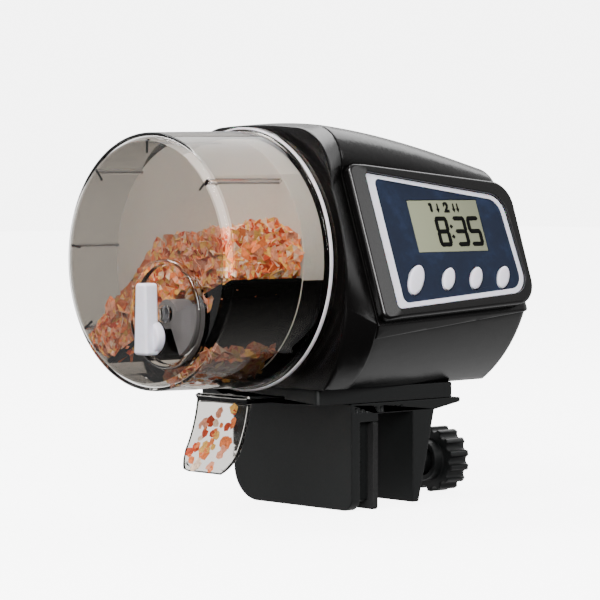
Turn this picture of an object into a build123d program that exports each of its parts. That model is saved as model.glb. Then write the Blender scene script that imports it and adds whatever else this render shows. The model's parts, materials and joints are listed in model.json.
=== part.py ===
from build123d import *
import os
from math import acos, cos, hypot, pi, radians, sin, tan

os.makedirs("parts", exist_ok=True)

# A clamp-on flake feeder for a fish tank. The origin is the middle of the clamp slot's ceiling, where
# the tank's rim sits. X runs along the drum's axis, with minus X towards the drum, the control panel
# faces minus Y, and Z is up. A "station" is a distance along the drum's axis from its flange edge.

# Fits
RUN_GAP = 0.06  # radial gap of a pin or shaft that turns
SEAT_GAP = 0.15  # gap per side of a piece that sits in a seat
PASS_GAP = 0.3  # gap between pieces that move past each other

# Clamp bracket
SLOT_WIDTH = 12.0
BRACKET_WIDTH = 44.8
PLATE_THICKNESS = 2.8
JAW_THICKNESS = 9.2
JAW_FACE_THICKNESS = 3.0
JAW_DROP = 24.0
JAW_BLOCK_INSET = 2.0
JAW_BACK_ROUND = 9.0
JAW_FRONT_ROUND = 3.0
OUTER_WALL_TOP = 7.7
OUTER_WALL_FOOT = 2.2
OUTER_WALL_DROP = 23.1
PLATE_OVERHANG = 9.3
PLATE_END_THICKNESS = 1.2
NOTCH_COUNT = 10
NOTCH_PITCH = 1.7
NOTCH_WIDTH = 0.8
NOTCH_HEIGHT = 1.2
NOTCH_DEPTH = 0.6
GRIP_THICKNESS = 1.7
GRIP_MARGIN = 1.9
GRIP_ROUND = 0.8

# Slide rail between bracket and feeder
RAIL_STEM_WIDTH = 12.0
RAIL_HEAD_WIDTH = 18.0
RAIL_STEM_HEIGHT = 1.2
RAIL_HEAD_HEIGHT = 1.2
RAIL_INSET = 1.5

# Clamp screw
SCREW_RADIUS = 4.0
SCREW_DEPTH = 15.5
SCREW_TIP_RADIUS = 2.0
SCREW_TIP_LENGTH = 1.4
KNOB_RADIUS = 8.6
KNOB_LENGTH = 6.7
KNOB_HUB_RADIUS = 5.5
KNOB_HUB_LENGTH = 3.0
KNOB_REACH = 27.6  # from the slot's outer wall to the knob
FLUTE_COUNT = 14
FLUTE_RADIUS = 1.1
SCREW_BOSS_RADIUS = 7.7
SCREW_BOSS_LENGTH = 8.5
PAD_RADIUS = 6.0
PAD_THICKNESS = 2.4

# Place of the drum's flange
FLANGE_EDGE_X = -29.5

# Drum
DRUM_LENGTH = 33.5
DRUM_FRONT_RADIUS = 31.5
DRUM_BACK_RADIUS = 32.0
DRUM_WALL = 1.5
DRUM_EDGE_ROUND = 2.0
FLANGE_RADIUS = 33.0
FLANGE_WIDTH = 2.4
RIB_COUNT = 5
RIB_HEIGHT = 3.8
RIB_THICKNESS = 0.9
RIB_FIRST_ANGLE = 48.0
RIB_SWEEP = 167.0
OUTLET_START_ANGLE = 246.0
OUTLET_SWEEP = 32.0
OUTLET_LENGTH = 10.0
OUTLET_SILL = 1.0
BOSS_ACROSS = 9.5  # from the axis towards the panel side
BOSS_DOWN = 12.3
BOSS_RADIUS = 13.3
BOSS_HEIGHT = 2.0
BOSS_WALL = 1.2
LID_DEPTH = 8.7  # from the flange edge to the lid's food side
LID_THICKNESS = 1.8
LID_SKIRT_WALL = 1.4
LID_SKIRT_LENGTH = 5.0
SOCKET_RADIUS = 9.5

# Divider, gate and lever
DIVIDER_WALL = 1.2
SHELF_ANGLE = -8.0
BAFFLE_ANGLE = 237.0
WELL_WALL = 1.0
WELL_GAP_START = 245.0
WELL_GAP_SWEEP = 55.0
WELL_MOUTH_START = 35.0
WELL_MOUTH_SWEEP = 155.0
WELL_RING_LENGTH = 1.6
GATE_START_ANGLE = -65.0
GATE_SWEEP = 80.0
GATE_WALL = 1.2
GATE_HUB_RADIUS = 3.6
GATE_HUB_LENGTH = 6.0
LEVER_SHAFT_RADIUS = 2.0
LEVER_COLLAR_RADIUS = 4.6
LEVER_COLLAR_HEIGHT = 3.4
LEVER_LOBE_DROP = 4.4
LEVER_UP = 7.6
LEVER_DOWN = 9.6
LEVER_WIDTH = 5.4
LEVER_TOP_WIDTH = 4.2
LEVER_THICKNESS = 4.6
LEVER_ROUND = 0.9

# Food in the drum, from its axis in the front view
HEAP_LEFT_ANGLE = 216.6  # just under the last rib
HEAP_TOP = [(-19.6, -14.7), (-18.0, -11.0), (-8.2, -4.4), (-2.6, 1.8), (4.0, 6.6), (10.0, 10.4), (19.0, 12.0)]
HEAP_RIGHT_ANGLE = 23.7
HEAP_END_HEIGHT = 8.0
HEAP_CROWN_HEIGHT = 12.0
HEAP_HUB_GAP = 1.0
HEAP_MOUTH_START = 66.0  # clear of the gate at its far stop
HEAP_MOUTH_END = 186.0
PORTION_LEFT = 6.5  # clear of the outlet
PORTION_LEFT_HEIGHT = -24.0
PORTION_RIGHT_ANGLE = -35.0

# Gear train
PRESSURE_ANGLE = radians(25)
ADDENDUM = 0.8
DEDENDUM = 1.15
BACKLASH = 0.16
DRIVE_MODULE = 0.8
DRIVE_TEETH = 40
DRIVE_PINION_TEETH = 10
MIDDLE_MODULE = 0.6
MIDDLE_TEETH = 36
MIDDLE_PINION_TEETH = 10
MOTOR_MODULE = 0.5
MOTOR_WHEEL_TEETH = 36
MOTOR_PINION_TEETH = 9
SECOND_IDLER_ANGLE = -53.0
FIRST_IDLER_ANGLE = 60.0
MOTOR_ANGLE = 120.0
GEAR_WIDTH = 3.0
THIN_GEAR_WIDTH = 1.8
LAYER_GAP = 0.6
AXLE_RADIUS = 1.0
AXLE_SINK = 1.4
JOURNAL_RADIUS = 9.0
REAR_JOURNAL_RADIUS = 3.0
DOG_ACROSS_FLATS = 11.0
PLATE_WALL = 1.6
POST_RADIUS = 2.6
POST_PLACES = ((24.0, 105.0), (24.0, 230.0), (24.0, 62.0))  # distance and angle from the axis
PLATE_EDGE = 3.0
MOTOR_RADIUS = 10.0
MOTOR_LENGTH = 22.0
MOTOR_CAP_RADIUS = 5.0
MOTOR_CAP_LENGTH = 2.0
MOTOR_SHAFT_RADIUS = 1.0

# Housing
COLLAR_GAP = 2.0
COLLAR_LENGTH = 8.9
COLLAR_FACE = 2.4
BODY_LENGTH = 55.2
SHELL_WALL = 2.0
END_ROUND = 3.0
SKIRT_STEP = 0.8
FLOOR_RISE = 1.2  # housing floor above the flange's lowest point
TOP_HEIGHT = 33.0
TOP_DROP = 12.2
PARTING_DROP = 19.0
PARTING_RISE = 5.4

# Control panel, tilted back, in its own plane: across from its left corner and up the slope
PANEL_TILT = radians(20)
PANEL_STATION = 15.9
PANEL_FORWARD = 37.0
PANEL_DROP = 11.9
PANEL_END_MARGIN = 2.8  # from the sheet's right corner to the housing's end
PANEL_TOP_RIGHT_INSET = 1.2
PANEL_LEFT_TOP = 35.8
PANEL_RIGHT_FOOT = 3.3
PANEL_RIGHT_TOP = 29.2
PANEL_LEFT_ROUND = 1.2
PANEL_RIGHT_ROUND = 5.5
BEZEL_LEFT = (4.8, 4.6)  # past the sheet's left corners, lower and upper
BEZEL_RIGHT = (1.8, 3.6)
BEZEL_UNDER = (2.5, 2.8)  # below the sheet's lower corners, left and right
BEZEL_OVER = (2.5, 3.4)
BEZEL_LEFT_ROUND = 2.2
BEZEL_RIGHT_ROUND = 6.5
BEZEL_SEAT = 2.5
BEZEL_RIM = 1.0
BEZEL_EDGE_ROUND = 0.8
OVERLAY_THICKNESS = 0.5
BORDER_WIDTH = 1.3
BORDER_THICKNESS = 0.25
LCD_LEFT = 12.5
LCD_RIGHT = 10.2  # from the display to the sheet's right corner
LCD_ROW = 21.55
LCD_HEIGHT = 13.9
LCD_FRAME = 2.0
WINDOW_THICKNESS = 0.8
BUTTON_ROW = 7.5
SET_BUTTON_ACROSS = 9.0
MEAL_BUTTON_ACROSS = 20.3
LAST_BUTTON_INSET = 7.6  # from the sheet's right corner
SET_BUTTON_HALVES = (2.7, 3.85)
BUTTON_HALVES = (2.2, 2.85)
BUTTON_PROUD = 1.1
BUTTON_FLANGE = 0.8
BUTTON_FLANGE_HEIGHT = 1.0
BUTTON_FLANGE_DROP = 0.7
BUTTON_ROUND = 0.6
BUTTON_TRAVEL = 0.8
BOARD_DEPTH = 8.0
BOARD_THICKNESS = 1.6
BOARD_LEFT = 3.0
BOARD_FOOT = 2.2
BOARD_RIGHT = 3.4  # inside the sheet's right corner
BOARD_TOP = 31.0
BOARD_POST_RADIUS = 1.8
BOARD_POST_INSET = 2.4
SWITCH_SIZE = 4.6
SWITCH_PLUNGER_RADIUS = 1.2
SWITCH_PLUNGER_HEIGHT = 0.7
CHIP_SIZE = 9.0
CHIP_THICKNESS = 1.6

# Batteries
CELL_RADIUS = 5.25
CELL_END_GAP = 1.1
CELL_TIP_RADIUS = 1.9
CELL_TIP_LENGTH = 1.0
CELL_SPACING = 12.0
TRAY_WALL = 1.2
TRAY_FLOOR = 2.2
TRAY_START = 16.2
CONTACT_THICKNESS = 0.4
CONTACT_GAP = 0.9
DOOR_RIB = 0.5
DOOR_RIB_COUNT = 3
DOOR_RIB_WIDTH = 1.0
DOOR_RIB_PITCH = 2.2

# Base slab, chute and small screws
BASE_STATION = 3.0
BASE_LENGTH = 47.0
BASE_HEIGHT = 3.9
BASE_LIFT = 0.1  # from the bracket's plate to the slab
BASE_ROUND = 1.2
CHUTE_WIDTH = 19.6
CHUTE_WALL = 1.2
CHUTE_TAB_LENGTH = 6.0
CHUTE_TAB_SINK = 2.9  # below the housing's floor
CHUTE_BEND = (-8.2, -0.2)  # station, and height from the tab
CHUTE_TOP = (-8.9, 1.1)
CHUTE_MIDDLE = (-10.3, -8.9)
CHUTE_LIP = (-15.0, -17.7)
CHUTE_LIP_ROUND = 7.0
SMALL_SCREW_RADIUS = 1.1
SMALL_HEAD_RADIUS = 2.2
SMALL_HEAD_HEIGHT = 1.2
BASE_SCREW_LENGTH = 5.2
BASE_SCREW_INSETS = (12.0, 5.0)  # from the slab's two ends
BASE_SCREW_ACROSS = 16.5

# Places that follow from the sizes: heights from the rim up, stations along the housing
FLOOR_DROP = FLANGE_RADIUS - FLOOR_RISE
BASE_FOOT = PLATE_THICKNESS + BASE_LIFT
BASE_TOP = BASE_FOOT + BASE_HEIGHT
AXIS_HEIGHT = BASE_TOP + FLOOR_DROP
CHUTE_TAB_DROP = FLOOR_DROP + CHUTE_TAB_SINK
BODY_START = COLLAR_GAP + COLLAR_LENGTH
BODY_END = BODY_START + BODY_LENGTH
PANEL_WIDTH = BODY_END - PANEL_STATION - PANEL_END_MARGIN
PANEL_OUTLINE = (
    (0, 0),
    (PANEL_WIDTH, PANEL_RIGHT_FOOT),
    (PANEL_WIDTH - PANEL_TOP_RIGHT_INSET, PANEL_RIGHT_TOP),
    (0, PANEL_LEFT_TOP),
)
BEZEL_OUTLINE = (
    (-BEZEL_LEFT[0], -BEZEL_UNDER[0]),
    (PANEL_OUTLINE[1][0] + BEZEL_RIGHT[0], PANEL_OUTLINE[1][1] - BEZEL_UNDER[1]),
    (PANEL_OUTLINE[2][0] + BEZEL_RIGHT[1], PANEL_OUTLINE[2][1] + BEZEL_OVER[1]),
    (-BEZEL_LEFT[1], PANEL_LEFT_TOP + BEZEL_OVER[0]),
)
LCD_WIDTH = PANEL_WIDTH - LCD_LEFT - LCD_RIGHT
LCD_CENTER = (LCD_LEFT + LCD_WIDTH / 2, LCD_ROW)
LAST_BUTTON_ACROSS = PANEL_WIDTH - LAST_BUTTON_INSET
MIDDLE_BUTTON_ACROSS = (MEAL_BUTTON_ACROSS + LAST_BUTTON_ACROSS) / 2
BUTTON_SIZES = {
    "set_button": (SET_BUTTON_ACROSS, *SET_BUTTON_HALVES),
    "first_meal_button": (MEAL_BUTTON_ACROSS, *BUTTON_HALVES),
    "second_meal_button": (MIDDLE_BUTTON_ACROSS, *BUTTON_HALVES),
    "feed_button": (LAST_BUTTON_ACROSS, *BUTTON_HALVES),
}
BOARD_CORNERS = ((BOARD_LEFT, BOARD_FOOT), (PANEL_WIDTH - BOARD_RIGHT, BOARD_TOP))


def cross_plane(station):
    """Plane square to the axis: local x is Y, local y is height from the axis."""
    origin = (FLANGE_EDGE_X + station, 0, AXIS_HEIGHT)
    return Plane(origin=origin, x_dir=(0, 1, 0), z_dir=(1, 0, 0))


def front_plane(station):
    """Plane square to the axis as seen from the drum's front: local x points to the panel side."""
    origin = (FLANGE_EDGE_X + station, 0, AXIS_HEIGHT)
    return Plane(origin=origin, x_dir=(0, -1, 0), z_dir=(-1, 0, 0))


def clamp_plane(x):
    """Plane square to X in the clamp's own heights: local x is Y, local y is Z."""
    return Plane(origin=(x, 0, 0), x_dir=(0, 1, 0), z_dir=(1, 0, 0))


def panel_plane(height):
    """Plane of the control panel, raised by a height along its outward normal."""
    origin = (FLANGE_EDGE_X + PANEL_STATION, -PANEL_FORWARD, AXIS_HEIGHT - PANEL_DROP)
    normal = (0, -cos(PANEL_TILT), sin(PANEL_TILT))
    return Plane(origin=origin, x_dir=(1, 0, 0), z_dir=normal).offset(height)


SIDE_PLANE = Plane(origin=(FLANGE_EDGE_X, 0, AXIS_HEIGHT), x_dir=(1, 0, 0), z_dir=(0, -1, 0))
DRUM_AXIS = Axis((FLANGE_EDGE_X, 0, AXIS_HEIGHT), (1, 0, 0))


def polar(radius, angle, center=(0, 0)):
    """Point at an angle in degrees about a centre."""
    return (center[0] + radius * cos(radians(angle)), center[1] + radius * sin(radians(angle)))


def bulge(start, end, share):
    """Middle of an arc that swells to the left of the way from start to end."""
    across, up = end[0] - start[0], end[1] - start[1]
    return ((start[0] + end[0]) / 2 - up * share, (start[1] + end[1]) / 2 + across * share)


def save(piece, name):
    """Label a finished piece and write it to its own file."""
    piece.part.label = name
    export_step(piece.part, f"parts/{name}.step")


# Clamp bracket: plate, rail, fixed jaw, outer wall with the screw's boss
SLOT_INNER_X = -SLOT_WIDTH / 2
SLOT_OUTER_X = SLOT_WIDTH / 2
JAW_X = SLOT_INNER_X - JAW_THICKNESS
PLATE_END_X = SLOT_OUTER_X + OUTER_WALL_TOP + PLATE_OVERHANG
HALF_BRACKET = BRACKET_WIDTH / 2
RAIL_START_X = JAW_X + RAIL_INSET
RAIL_TOP = PLATE_THICKNESS + RAIL_STEM_HEIGHT + RAIL_HEAD_HEIGHT


def jaw_outline(inset):
    """Fixed jaw seen from the drum: a plate with two unlike lower corners."""
    half = HALF_BRACKET - inset
    foot = -JAW_DROP + inset
    back, front = JAW_BACK_ROUND - inset, JAW_FRONT_ROUND - inset
    with BuildLine() as outline:
        Line((-half, 0), (half, 0))
        Line((half, 0), (half, foot + back))
        RadiusArc((half, foot + back), (half - back, foot), back)
        Line((half - back, foot), (-half + front, foot))
        RadiusArc((-half + front, foot), (-half, foot + front), front)
        Line((-half, foot + front), (-half, 0))
    return outline.line


with BuildPart() as clamp_bracket:
    with BuildSketch(Plane.XZ.offset(-HALF_BRACKET)):
        with BuildLine():
            Polyline(
                (JAW_X, 0),
                (JAW_X, PLATE_THICKNESS),
                (PLATE_END_X, PLATE_THICKNESS),
                (PLATE_END_X, PLATE_THICKNESS - PLATE_END_THICKNESS),
                (SLOT_OUTER_X + OUTER_WALL_TOP, 0),
                close=True,
            )
        make_face()
    extrude(amount=BRACKET_WIDTH)
    with BuildSketch(clamp_plane(JAW_X)):
        add(jaw_outline(0))
        make_face()
    extrude(amount=JAW_FACE_THICKNESS)
    with BuildSketch(clamp_plane(JAW_X)):
        add(jaw_outline(JAW_BLOCK_INSET))
        make_face()
    extrude(amount=JAW_THICKNESS - GRIP_THICKNESS)
    with BuildSketch(clamp_plane(JAW_X)):
        with Locations((0, -GRIP_MARGIN / 2)):
            Rectangle(BRACKET_WIDTH, GRIP_MARGIN)
    extrude(amount=JAW_THICKNESS)
    with BuildSketch(Plane.XZ.offset(-HALF_BRACKET)):
        with BuildLine():
            Polyline(
                (SLOT_OUTER_X, 0),
                (SLOT_OUTER_X + OUTER_WALL_TOP, 0),
                (SLOT_OUTER_X + OUTER_WALL_FOOT, -OUTER_WALL_DROP),
                (SLOT_OUTER_X, -OUTER_WALL_DROP),
                close=True,
            )
        make_face()
    extrude(amount=BRACKET_WIDTH)
    with BuildSketch(clamp_plane(SLOT_OUTER_X)):
        with Locations((0, -SCREW_DEPTH)):
            Circle(SCREW_BOSS_RADIUS)
    extrude(amount=SCREW_BOSS_LENGTH)
    with BuildSketch(clamp_plane(SLOT_OUTER_X)):
        with Locations((0, -SCREW_DEPTH)):
            Circle(PAD_RADIUS + PASS_GAP)
    extrude(amount=PAD_THICKNESS + PASS_GAP, mode=Mode.SUBTRACT)
    with BuildSketch(clamp_plane(SLOT_OUTER_X)):
        with Locations((0, -SCREW_DEPTH)):
            Circle(SCREW_RADIUS + RUN_GAP)
    extrude(amount=SCREW_BOSS_LENGTH, mode=Mode.SUBTRACT)
    with BuildSketch(clamp_plane(RAIL_START_X)):
        with Locations((0, PLATE_THICKNESS + RAIL_STEM_HEIGHT / 2)):
            Rectangle(RAIL_STEM_WIDTH, RAIL_STEM_HEIGHT)
        with Locations((0, RAIL_TOP - RAIL_HEAD_HEIGHT / 2)):
            Rectangle(RAIL_HEAD_WIDTH, RAIL_HEAD_HEIGHT)
    extrude(amount=PLATE_END_X - RAIL_START_X)
    notch_middle_x = JAW_X + NOTCH_PITCH * (NOTCH_COUNT + 1) / 2
    with BuildSketch(Plane.XZ.offset(-HALF_BRACKET), Plane.XZ.offset(HALF_BRACKET - NOTCH_DEPTH)):
        with Locations((notch_middle_x, NOTCH_HEIGHT / 2 + NOTCH_DEPTH)):
            with GridLocations(NOTCH_PITCH, NOTCH_HEIGHT, NOTCH_COUNT, 1):
                Rectangle(NOTCH_WIDTH, NOTCH_HEIGHT)
    extrude(amount=NOTCH_DEPTH, mode=Mode.SUBTRACT)
save(clamp_bracket, "clamp_bracket")

with BuildPart() as grip_pad:
    with BuildSketch(clamp_plane(SLOT_INNER_X)):
        with Locations((0, -(GRIP_MARGIN + JAW_DROP) / 2)):
            RectangleRounded(BRACKET_WIDTH, JAW_DROP - GRIP_MARGIN, GRIP_ROUND)
    extrude(amount=-GRIP_THICKNESS)
save(grip_pad, "grip_pad")

# Clamp screw: foot, screw and knob on one axis
PAD_X = SLOT_OUTER_X + SEAT_GAP
KNOB_X = SLOT_OUTER_X + KNOB_REACH

with BuildPart() as pressure_pad:
    with BuildSketch(clamp_plane(PAD_X)):
        with Locations((0, -SCREW_DEPTH)):
            Circle(PAD_RADIUS)
    extrude(amount=PAD_THICKNESS)
    with BuildSketch(clamp_plane(PAD_X + PAD_THICKNESS)):
        with Locations((0, -SCREW_DEPTH)):
            Circle(SCREW_TIP_RADIUS + RUN_GAP)
    extrude(amount=-SCREW_TIP_LENGTH - SEAT_GAP, mode=Mode.SUBTRACT)
save(pressure_pad, "pressure_pad")

with BuildPart() as clamp_screw:
    with BuildSketch(clamp_plane(PAD_X + PAD_THICKNESS - SCREW_TIP_LENGTH)):
        with Locations((0, -SCREW_DEPTH)):
            Circle(SCREW_TIP_RADIUS)
    extrude(amount=SCREW_TIP_LENGTH + SEAT_GAP)
    with BuildSketch(clamp_plane(PAD_X + PAD_THICKNESS + SEAT_GAP)):
        with Locations((0, -SCREW_DEPTH)):
            Circle(SCREW_RADIUS)
    extrude(amount=KNOB_X - PAD_X - PAD_THICKNESS - SEAT_GAP)
save(clamp_screw, "clamp_screw")

with BuildPart() as clamp_knob:
    with BuildSketch(clamp_plane(KNOB_X)):
        with Locations((0, -SCREW_DEPTH)):
            Circle(KNOB_RADIUS)
            with PolarLocations(KNOB_RADIUS, FLUTE_COUNT):
                Circle(FLUTE_RADIUS, mode=Mode.SUBTRACT)
    extrude(amount=KNOB_LENGTH)
    with BuildSketch(clamp_plane(KNOB_X - KNOB_HUB_LENGTH)):
        with Locations((0, -SCREW_DEPTH)):
            Circle(KNOB_HUB_RADIUS)
            Circle(SCREW_RADIUS, mode=Mode.SUBTRACT)
    extrude(amount=KNOB_HUB_LENGTH)
save(clamp_knob, "clamp_knob")

# Drum: drafted clear shell with flange, ribs, outlet and the gate's boss
FRONT_STATION = -DRUM_LENGTH
LID_STATION = -LID_DEPTH
BOSS_CENTER = (BOSS_ACROSS, -BOSS_DOWN)
INNER_FRONT_RADIUS = DRUM_FRONT_RADIUS - DRUM_WALL
INNER_BACK_RADIUS = DRUM_BACK_RADIUS - DRUM_WALL
DIVIDER_FRONT = FRONT_STATION + DRUM_WALL + DRUM_EDGE_ROUND / 2
DIVIDER_LENGTH = LID_STATION - SEAT_GAP - DIVIDER_FRONT


def drum_profile(front, front_radius, back, back_radius, round_radius):
    """Half section of a drafted drum with a rounded front edge, down to its axis."""
    with BuildSketch(SIDE_PLANE) as half:
        with BuildLine():
            Polyline((front, 0), (front, front_radius), (back, back_radius), (back, 0), close=True)
        make_face()
        edge = half.vertices().sort_by(Axis.Y)[-2:].sort_by(Axis.X)[0]
        fillet(edge, radius=round_radius)
    return half.sketch


with BuildPart() as drum_shell:
    revolve(drum_profile(FRONT_STATION, DRUM_FRONT_RADIUS, 0, DRUM_BACK_RADIUS, DRUM_EDGE_ROUND), DRUM_AXIS)
    with BuildSketch(front_plane(0)):
        Circle(FLANGE_RADIUS)
    extrude(amount=FLANGE_WIDTH)
    revolve(
        drum_profile(
            FRONT_STATION + DRUM_WALL,
            INNER_FRONT_RADIUS,
            0,
            INNER_BACK_RADIUS,
            DRUM_EDGE_ROUND - DRUM_WALL / 2,
        ),
        DRUM_AXIS,
        mode=Mode.SUBTRACT,
    )
    with BuildSketch(front_plane(LID_STATION - PASS_GAP)):
        with PolarLocations(
            INNER_FRONT_RADIUS - RIB_HEIGHT / 2, RIB_COUNT, RIB_FIRST_ANGLE, RIB_SWEEP, endpoint=True
        ):
            Rectangle(RIB_HEIGHT + DRUM_WALL, RIB_THICKNESS)
    extrude(amount=DRUM_LENGTH - LID_DEPTH - PASS_GAP - DRUM_WALL / 2)
    with BuildSketch(front_plane(LID_STATION - OUTLET_SILL)):
        with BuildLine():
            Polyline(
                polar(INNER_FRONT_RADIUS - DRUM_WALL, OUTLET_START_ANGLE),
                polar(FLANGE_RADIUS + DRUM_WALL, OUTLET_START_ANGLE),
                polar(FLANGE_RADIUS + DRUM_WALL, OUTLET_START_ANGLE + OUTLET_SWEEP),
                polar(INNER_FRONT_RADIUS - DRUM_WALL, OUTLET_START_ANGLE + OUTLET_SWEEP),
                close=True,
            )
        make_face()
    extrude(amount=OUTLET_LENGTH, mode=Mode.SUBTRACT)
    with BuildSketch(front_plane(FRONT_STATION + DRUM_WALL)):
        with Locations(BOSS_CENTER):
            Circle(BOSS_RADIUS)
    extrude(amount=BOSS_HEIGHT + DRUM_WALL)
    with BuildSketch(front_plane(FRONT_STATION + DRUM_WALL)):
        with Locations(BOSS_CENTER):
            Circle(BOSS_RADIUS - BOSS_WALL)
    extrude(amount=BOSS_HEIGHT + DRUM_WALL - BOSS_WALL, mode=Mode.SUBTRACT)
    with BuildSketch(front_plane(FRONT_STATION)):
        with Locations(BOSS_CENTER):
            Circle(LEVER_SHAFT_RADIUS + RUN_GAP)
    extrude(amount=BOSS_HEIGHT, mode=Mode.SUBTRACT)
save(drum_shell, "drum_shell")

# Lid that closes the food space, with a skirt and the hexagonal drive socket
with BuildPart() as drum_lid:
    with BuildSketch(cross_plane(LID_STATION)):
        Circle(INNER_FRONT_RADIUS)
    extrude(amount=LID_THICKNESS)
    with BuildSketch(cross_plane(LID_STATION + LID_THICKNESS)):
        Circle(INNER_FRONT_RADIUS)
        Circle(INNER_FRONT_RADIUS - LID_SKIRT_WALL, mode=Mode.SUBTRACT)
        Circle(SOCKET_RADIUS)
        RegularPolygon(DOG_ACROSS_FLATS / 2 + SEAT_GAP, 6, major_radius=False, mode=Mode.SUBTRACT)
    extrude(amount=LID_SKIRT_LENGTH)
save(drum_lid, "drum_lid")

# Divider: shelf, baffle and the round well that the gate turns in
WELL_RADIUS = BOSS_RADIUS - BOSS_WALL
GATE_RADIUS = WELL_RADIUS - WELL_WALL - PASS_GAP
DIVIDER_REACH = INNER_FRONT_RADIUS - SEAT_GAP


def vane(angle):
    """Centre line of a vane from the drum's wall to the well, along the well's radius."""
    outer = polar(DIVIDER_REACH, angle)
    across, up = outer[0] - BOSS_CENTER[0], outer[1] - BOSS_CENTER[1]
    share = (WELL_RADIUS - WELL_WALL / 2) / hypot(across, up)
    return outer, (BOSS_CENTER[0] + across * share, BOSS_CENTER[1] + up * share)


with BuildPart() as hopper_divider:
    with BuildSketch(front_plane(LID_STATION - SEAT_GAP)):
        for angle in (SHELF_ANGLE, BAFFLE_ANGLE):
            with BuildLine():
                Line(*vane(angle))
            trace(line_width=DIVIDER_WALL)
        with Locations(BOSS_CENTER):
            Circle(WELL_RADIUS)
            Circle(WELL_RADIUS - WELL_WALL, mode=Mode.SUBTRACT)
        with BuildLine():
            Polyline(
                BOSS_CENTER,
                polar(3 * WELL_RADIUS, WELL_GAP_START, BOSS_CENTER),
                polar(3 * WELL_RADIUS, WELL_GAP_START + WELL_GAP_SWEEP, BOSS_CENTER),
                close=True,
            )
        make_face(mode=Mode.SUBTRACT)
        with BuildLine():
            Polyline(
                BOSS_CENTER,
                polar(3 * WELL_RADIUS, WELL_MOUTH_START, BOSS_CENTER),
                polar(3 * WELL_RADIUS, WELL_MOUTH_START + WELL_MOUTH_SWEEP / 2, BOSS_CENTER),
                polar(3 * WELL_RADIUS, WELL_MOUTH_START + WELL_MOUTH_SWEEP, BOSS_CENTER),
                close=True,
            )
        make_face(mode=Mode.SUBTRACT)
    extrude(amount=DIVIDER_LENGTH)
    with BuildSketch(front_plane(LID_STATION - SEAT_GAP)):
        with Locations(BOSS_CENTER):
            Circle(WELL_RADIUS)
            Circle(WELL_RADIUS - WELL_WALL, mode=Mode.SUBTRACT)
    extrude(amount=WELL_RING_LENGTH)
    with BuildSketch(front_plane(0)):
        Circle(DIVIDER_REACH)
    extrude(amount=DRUM_LENGTH, mode=Mode.INTERSECT)
save(hopper_divider, "hopper_divider")

# Food: a heap that rests on the shelf, the baffle and the drum's wall and fills the well's mouth
def beyond(angle):
    """Point on a vane's line, well outside the drum."""
    outer = polar(DIVIDER_REACH, angle)
    return (3 * outer[0] - 2 * BOSS_CENTER[0], 3 * outer[1] - 2 * BOSS_CENTER[1])


WELL_CLEAR = WELL_RADIUS + SEAT_GAP
MOUTH_STATION = LID_STATION - WELL_RING_LENGTH - 2 * SEAT_GAP
MIDDLE_OF_FOOD = (DIVIDER_FRONT + LID_STATION) / 2
with BuildPart() as food_heap:
    with BuildSketch(front_plane(LID_STATION - SEAT_GAP)):
        with BuildLine():
            Polyline(
                polar(FLANGE_RADIUS, HEAP_LEFT_ANGLE),
                *HEAP_TOP,
                polar(FLANGE_RADIUS, HEAP_RIGHT_ANGLE),
                (FLANGE_RADIUS, -FLANGE_RADIUS),
                (-FLANGE_RADIUS, -FLANGE_RADIUS),
                close=True,
            )
        make_face()
        Circle(DIVIDER_REACH, mode=Mode.INTERSECT)
        with BuildLine():
            Polyline(
                beyond(SHELF_ANGLE), BOSS_CENTER, beyond(BAFFLE_ANGLE), (0, -3 * FLANGE_RADIUS), close=True
            )
        make_face(mode=Mode.SUBTRACT)
        for angle in (SHELF_ANGLE, BAFFLE_ANGLE):
            with BuildLine():
                Line(BOSS_CENTER, beyond(angle))
            trace(line_width=DIVIDER_WALL + 2 * SEAT_GAP, mode=Mode.SUBTRACT)
        with Locations(BOSS_CENTER):
            Circle(WELL_CLEAR, mode=Mode.SUBTRACT)
    extrude(amount=DIVIDER_LENGTH)
    with BuildSketch(front_plane(MOUTH_STATION)):
        with BuildLine():
            Polyline(
                BOSS_CENTER,
                polar(2 * WELL_CLEAR, HEAP_MOUTH_START, BOSS_CENTER),
                polar(2 * WELL_CLEAR, (HEAP_MOUTH_START + HEAP_MOUTH_END) / 2, BOSS_CENTER),
                polar(2 * WELL_CLEAR, HEAP_MOUTH_END, BOSS_CENTER),
                close=True,
            )
        make_face()
        with Locations(BOSS_CENTER):
            Circle(WELL_CLEAR + WELL_WALL, mode=Mode.INTERSECT)
            Circle(GATE_HUB_RADIUS + HEAP_HUB_GAP, mode=Mode.SUBTRACT)
    extrude(amount=MOUTH_STATION - DIVIDER_FRONT)
    with BuildSketch(SIDE_PLANE):
        with BuildLine():
            ThreePointArc(
                (DIVIDER_FRONT, HEAP_END_HEIGHT),
                (MIDDLE_OF_FOOD, HEAP_CROWN_HEIGHT),
                (LID_STATION, HEAP_END_HEIGHT),
            )
            Polyline(
                (LID_STATION, HEAP_END_HEIGHT),
                (LID_STATION, -FLANGE_RADIUS),
                (DIVIDER_FRONT, -FLANGE_RADIUS),
                (DIVIDER_FRONT, HEAP_END_HEIGHT),
            )
        make_face()
    extrude(amount=FLANGE_RADIUS, both=True, mode=Mode.INTERSECT)
save(food_heap, "food_heap")

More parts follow.
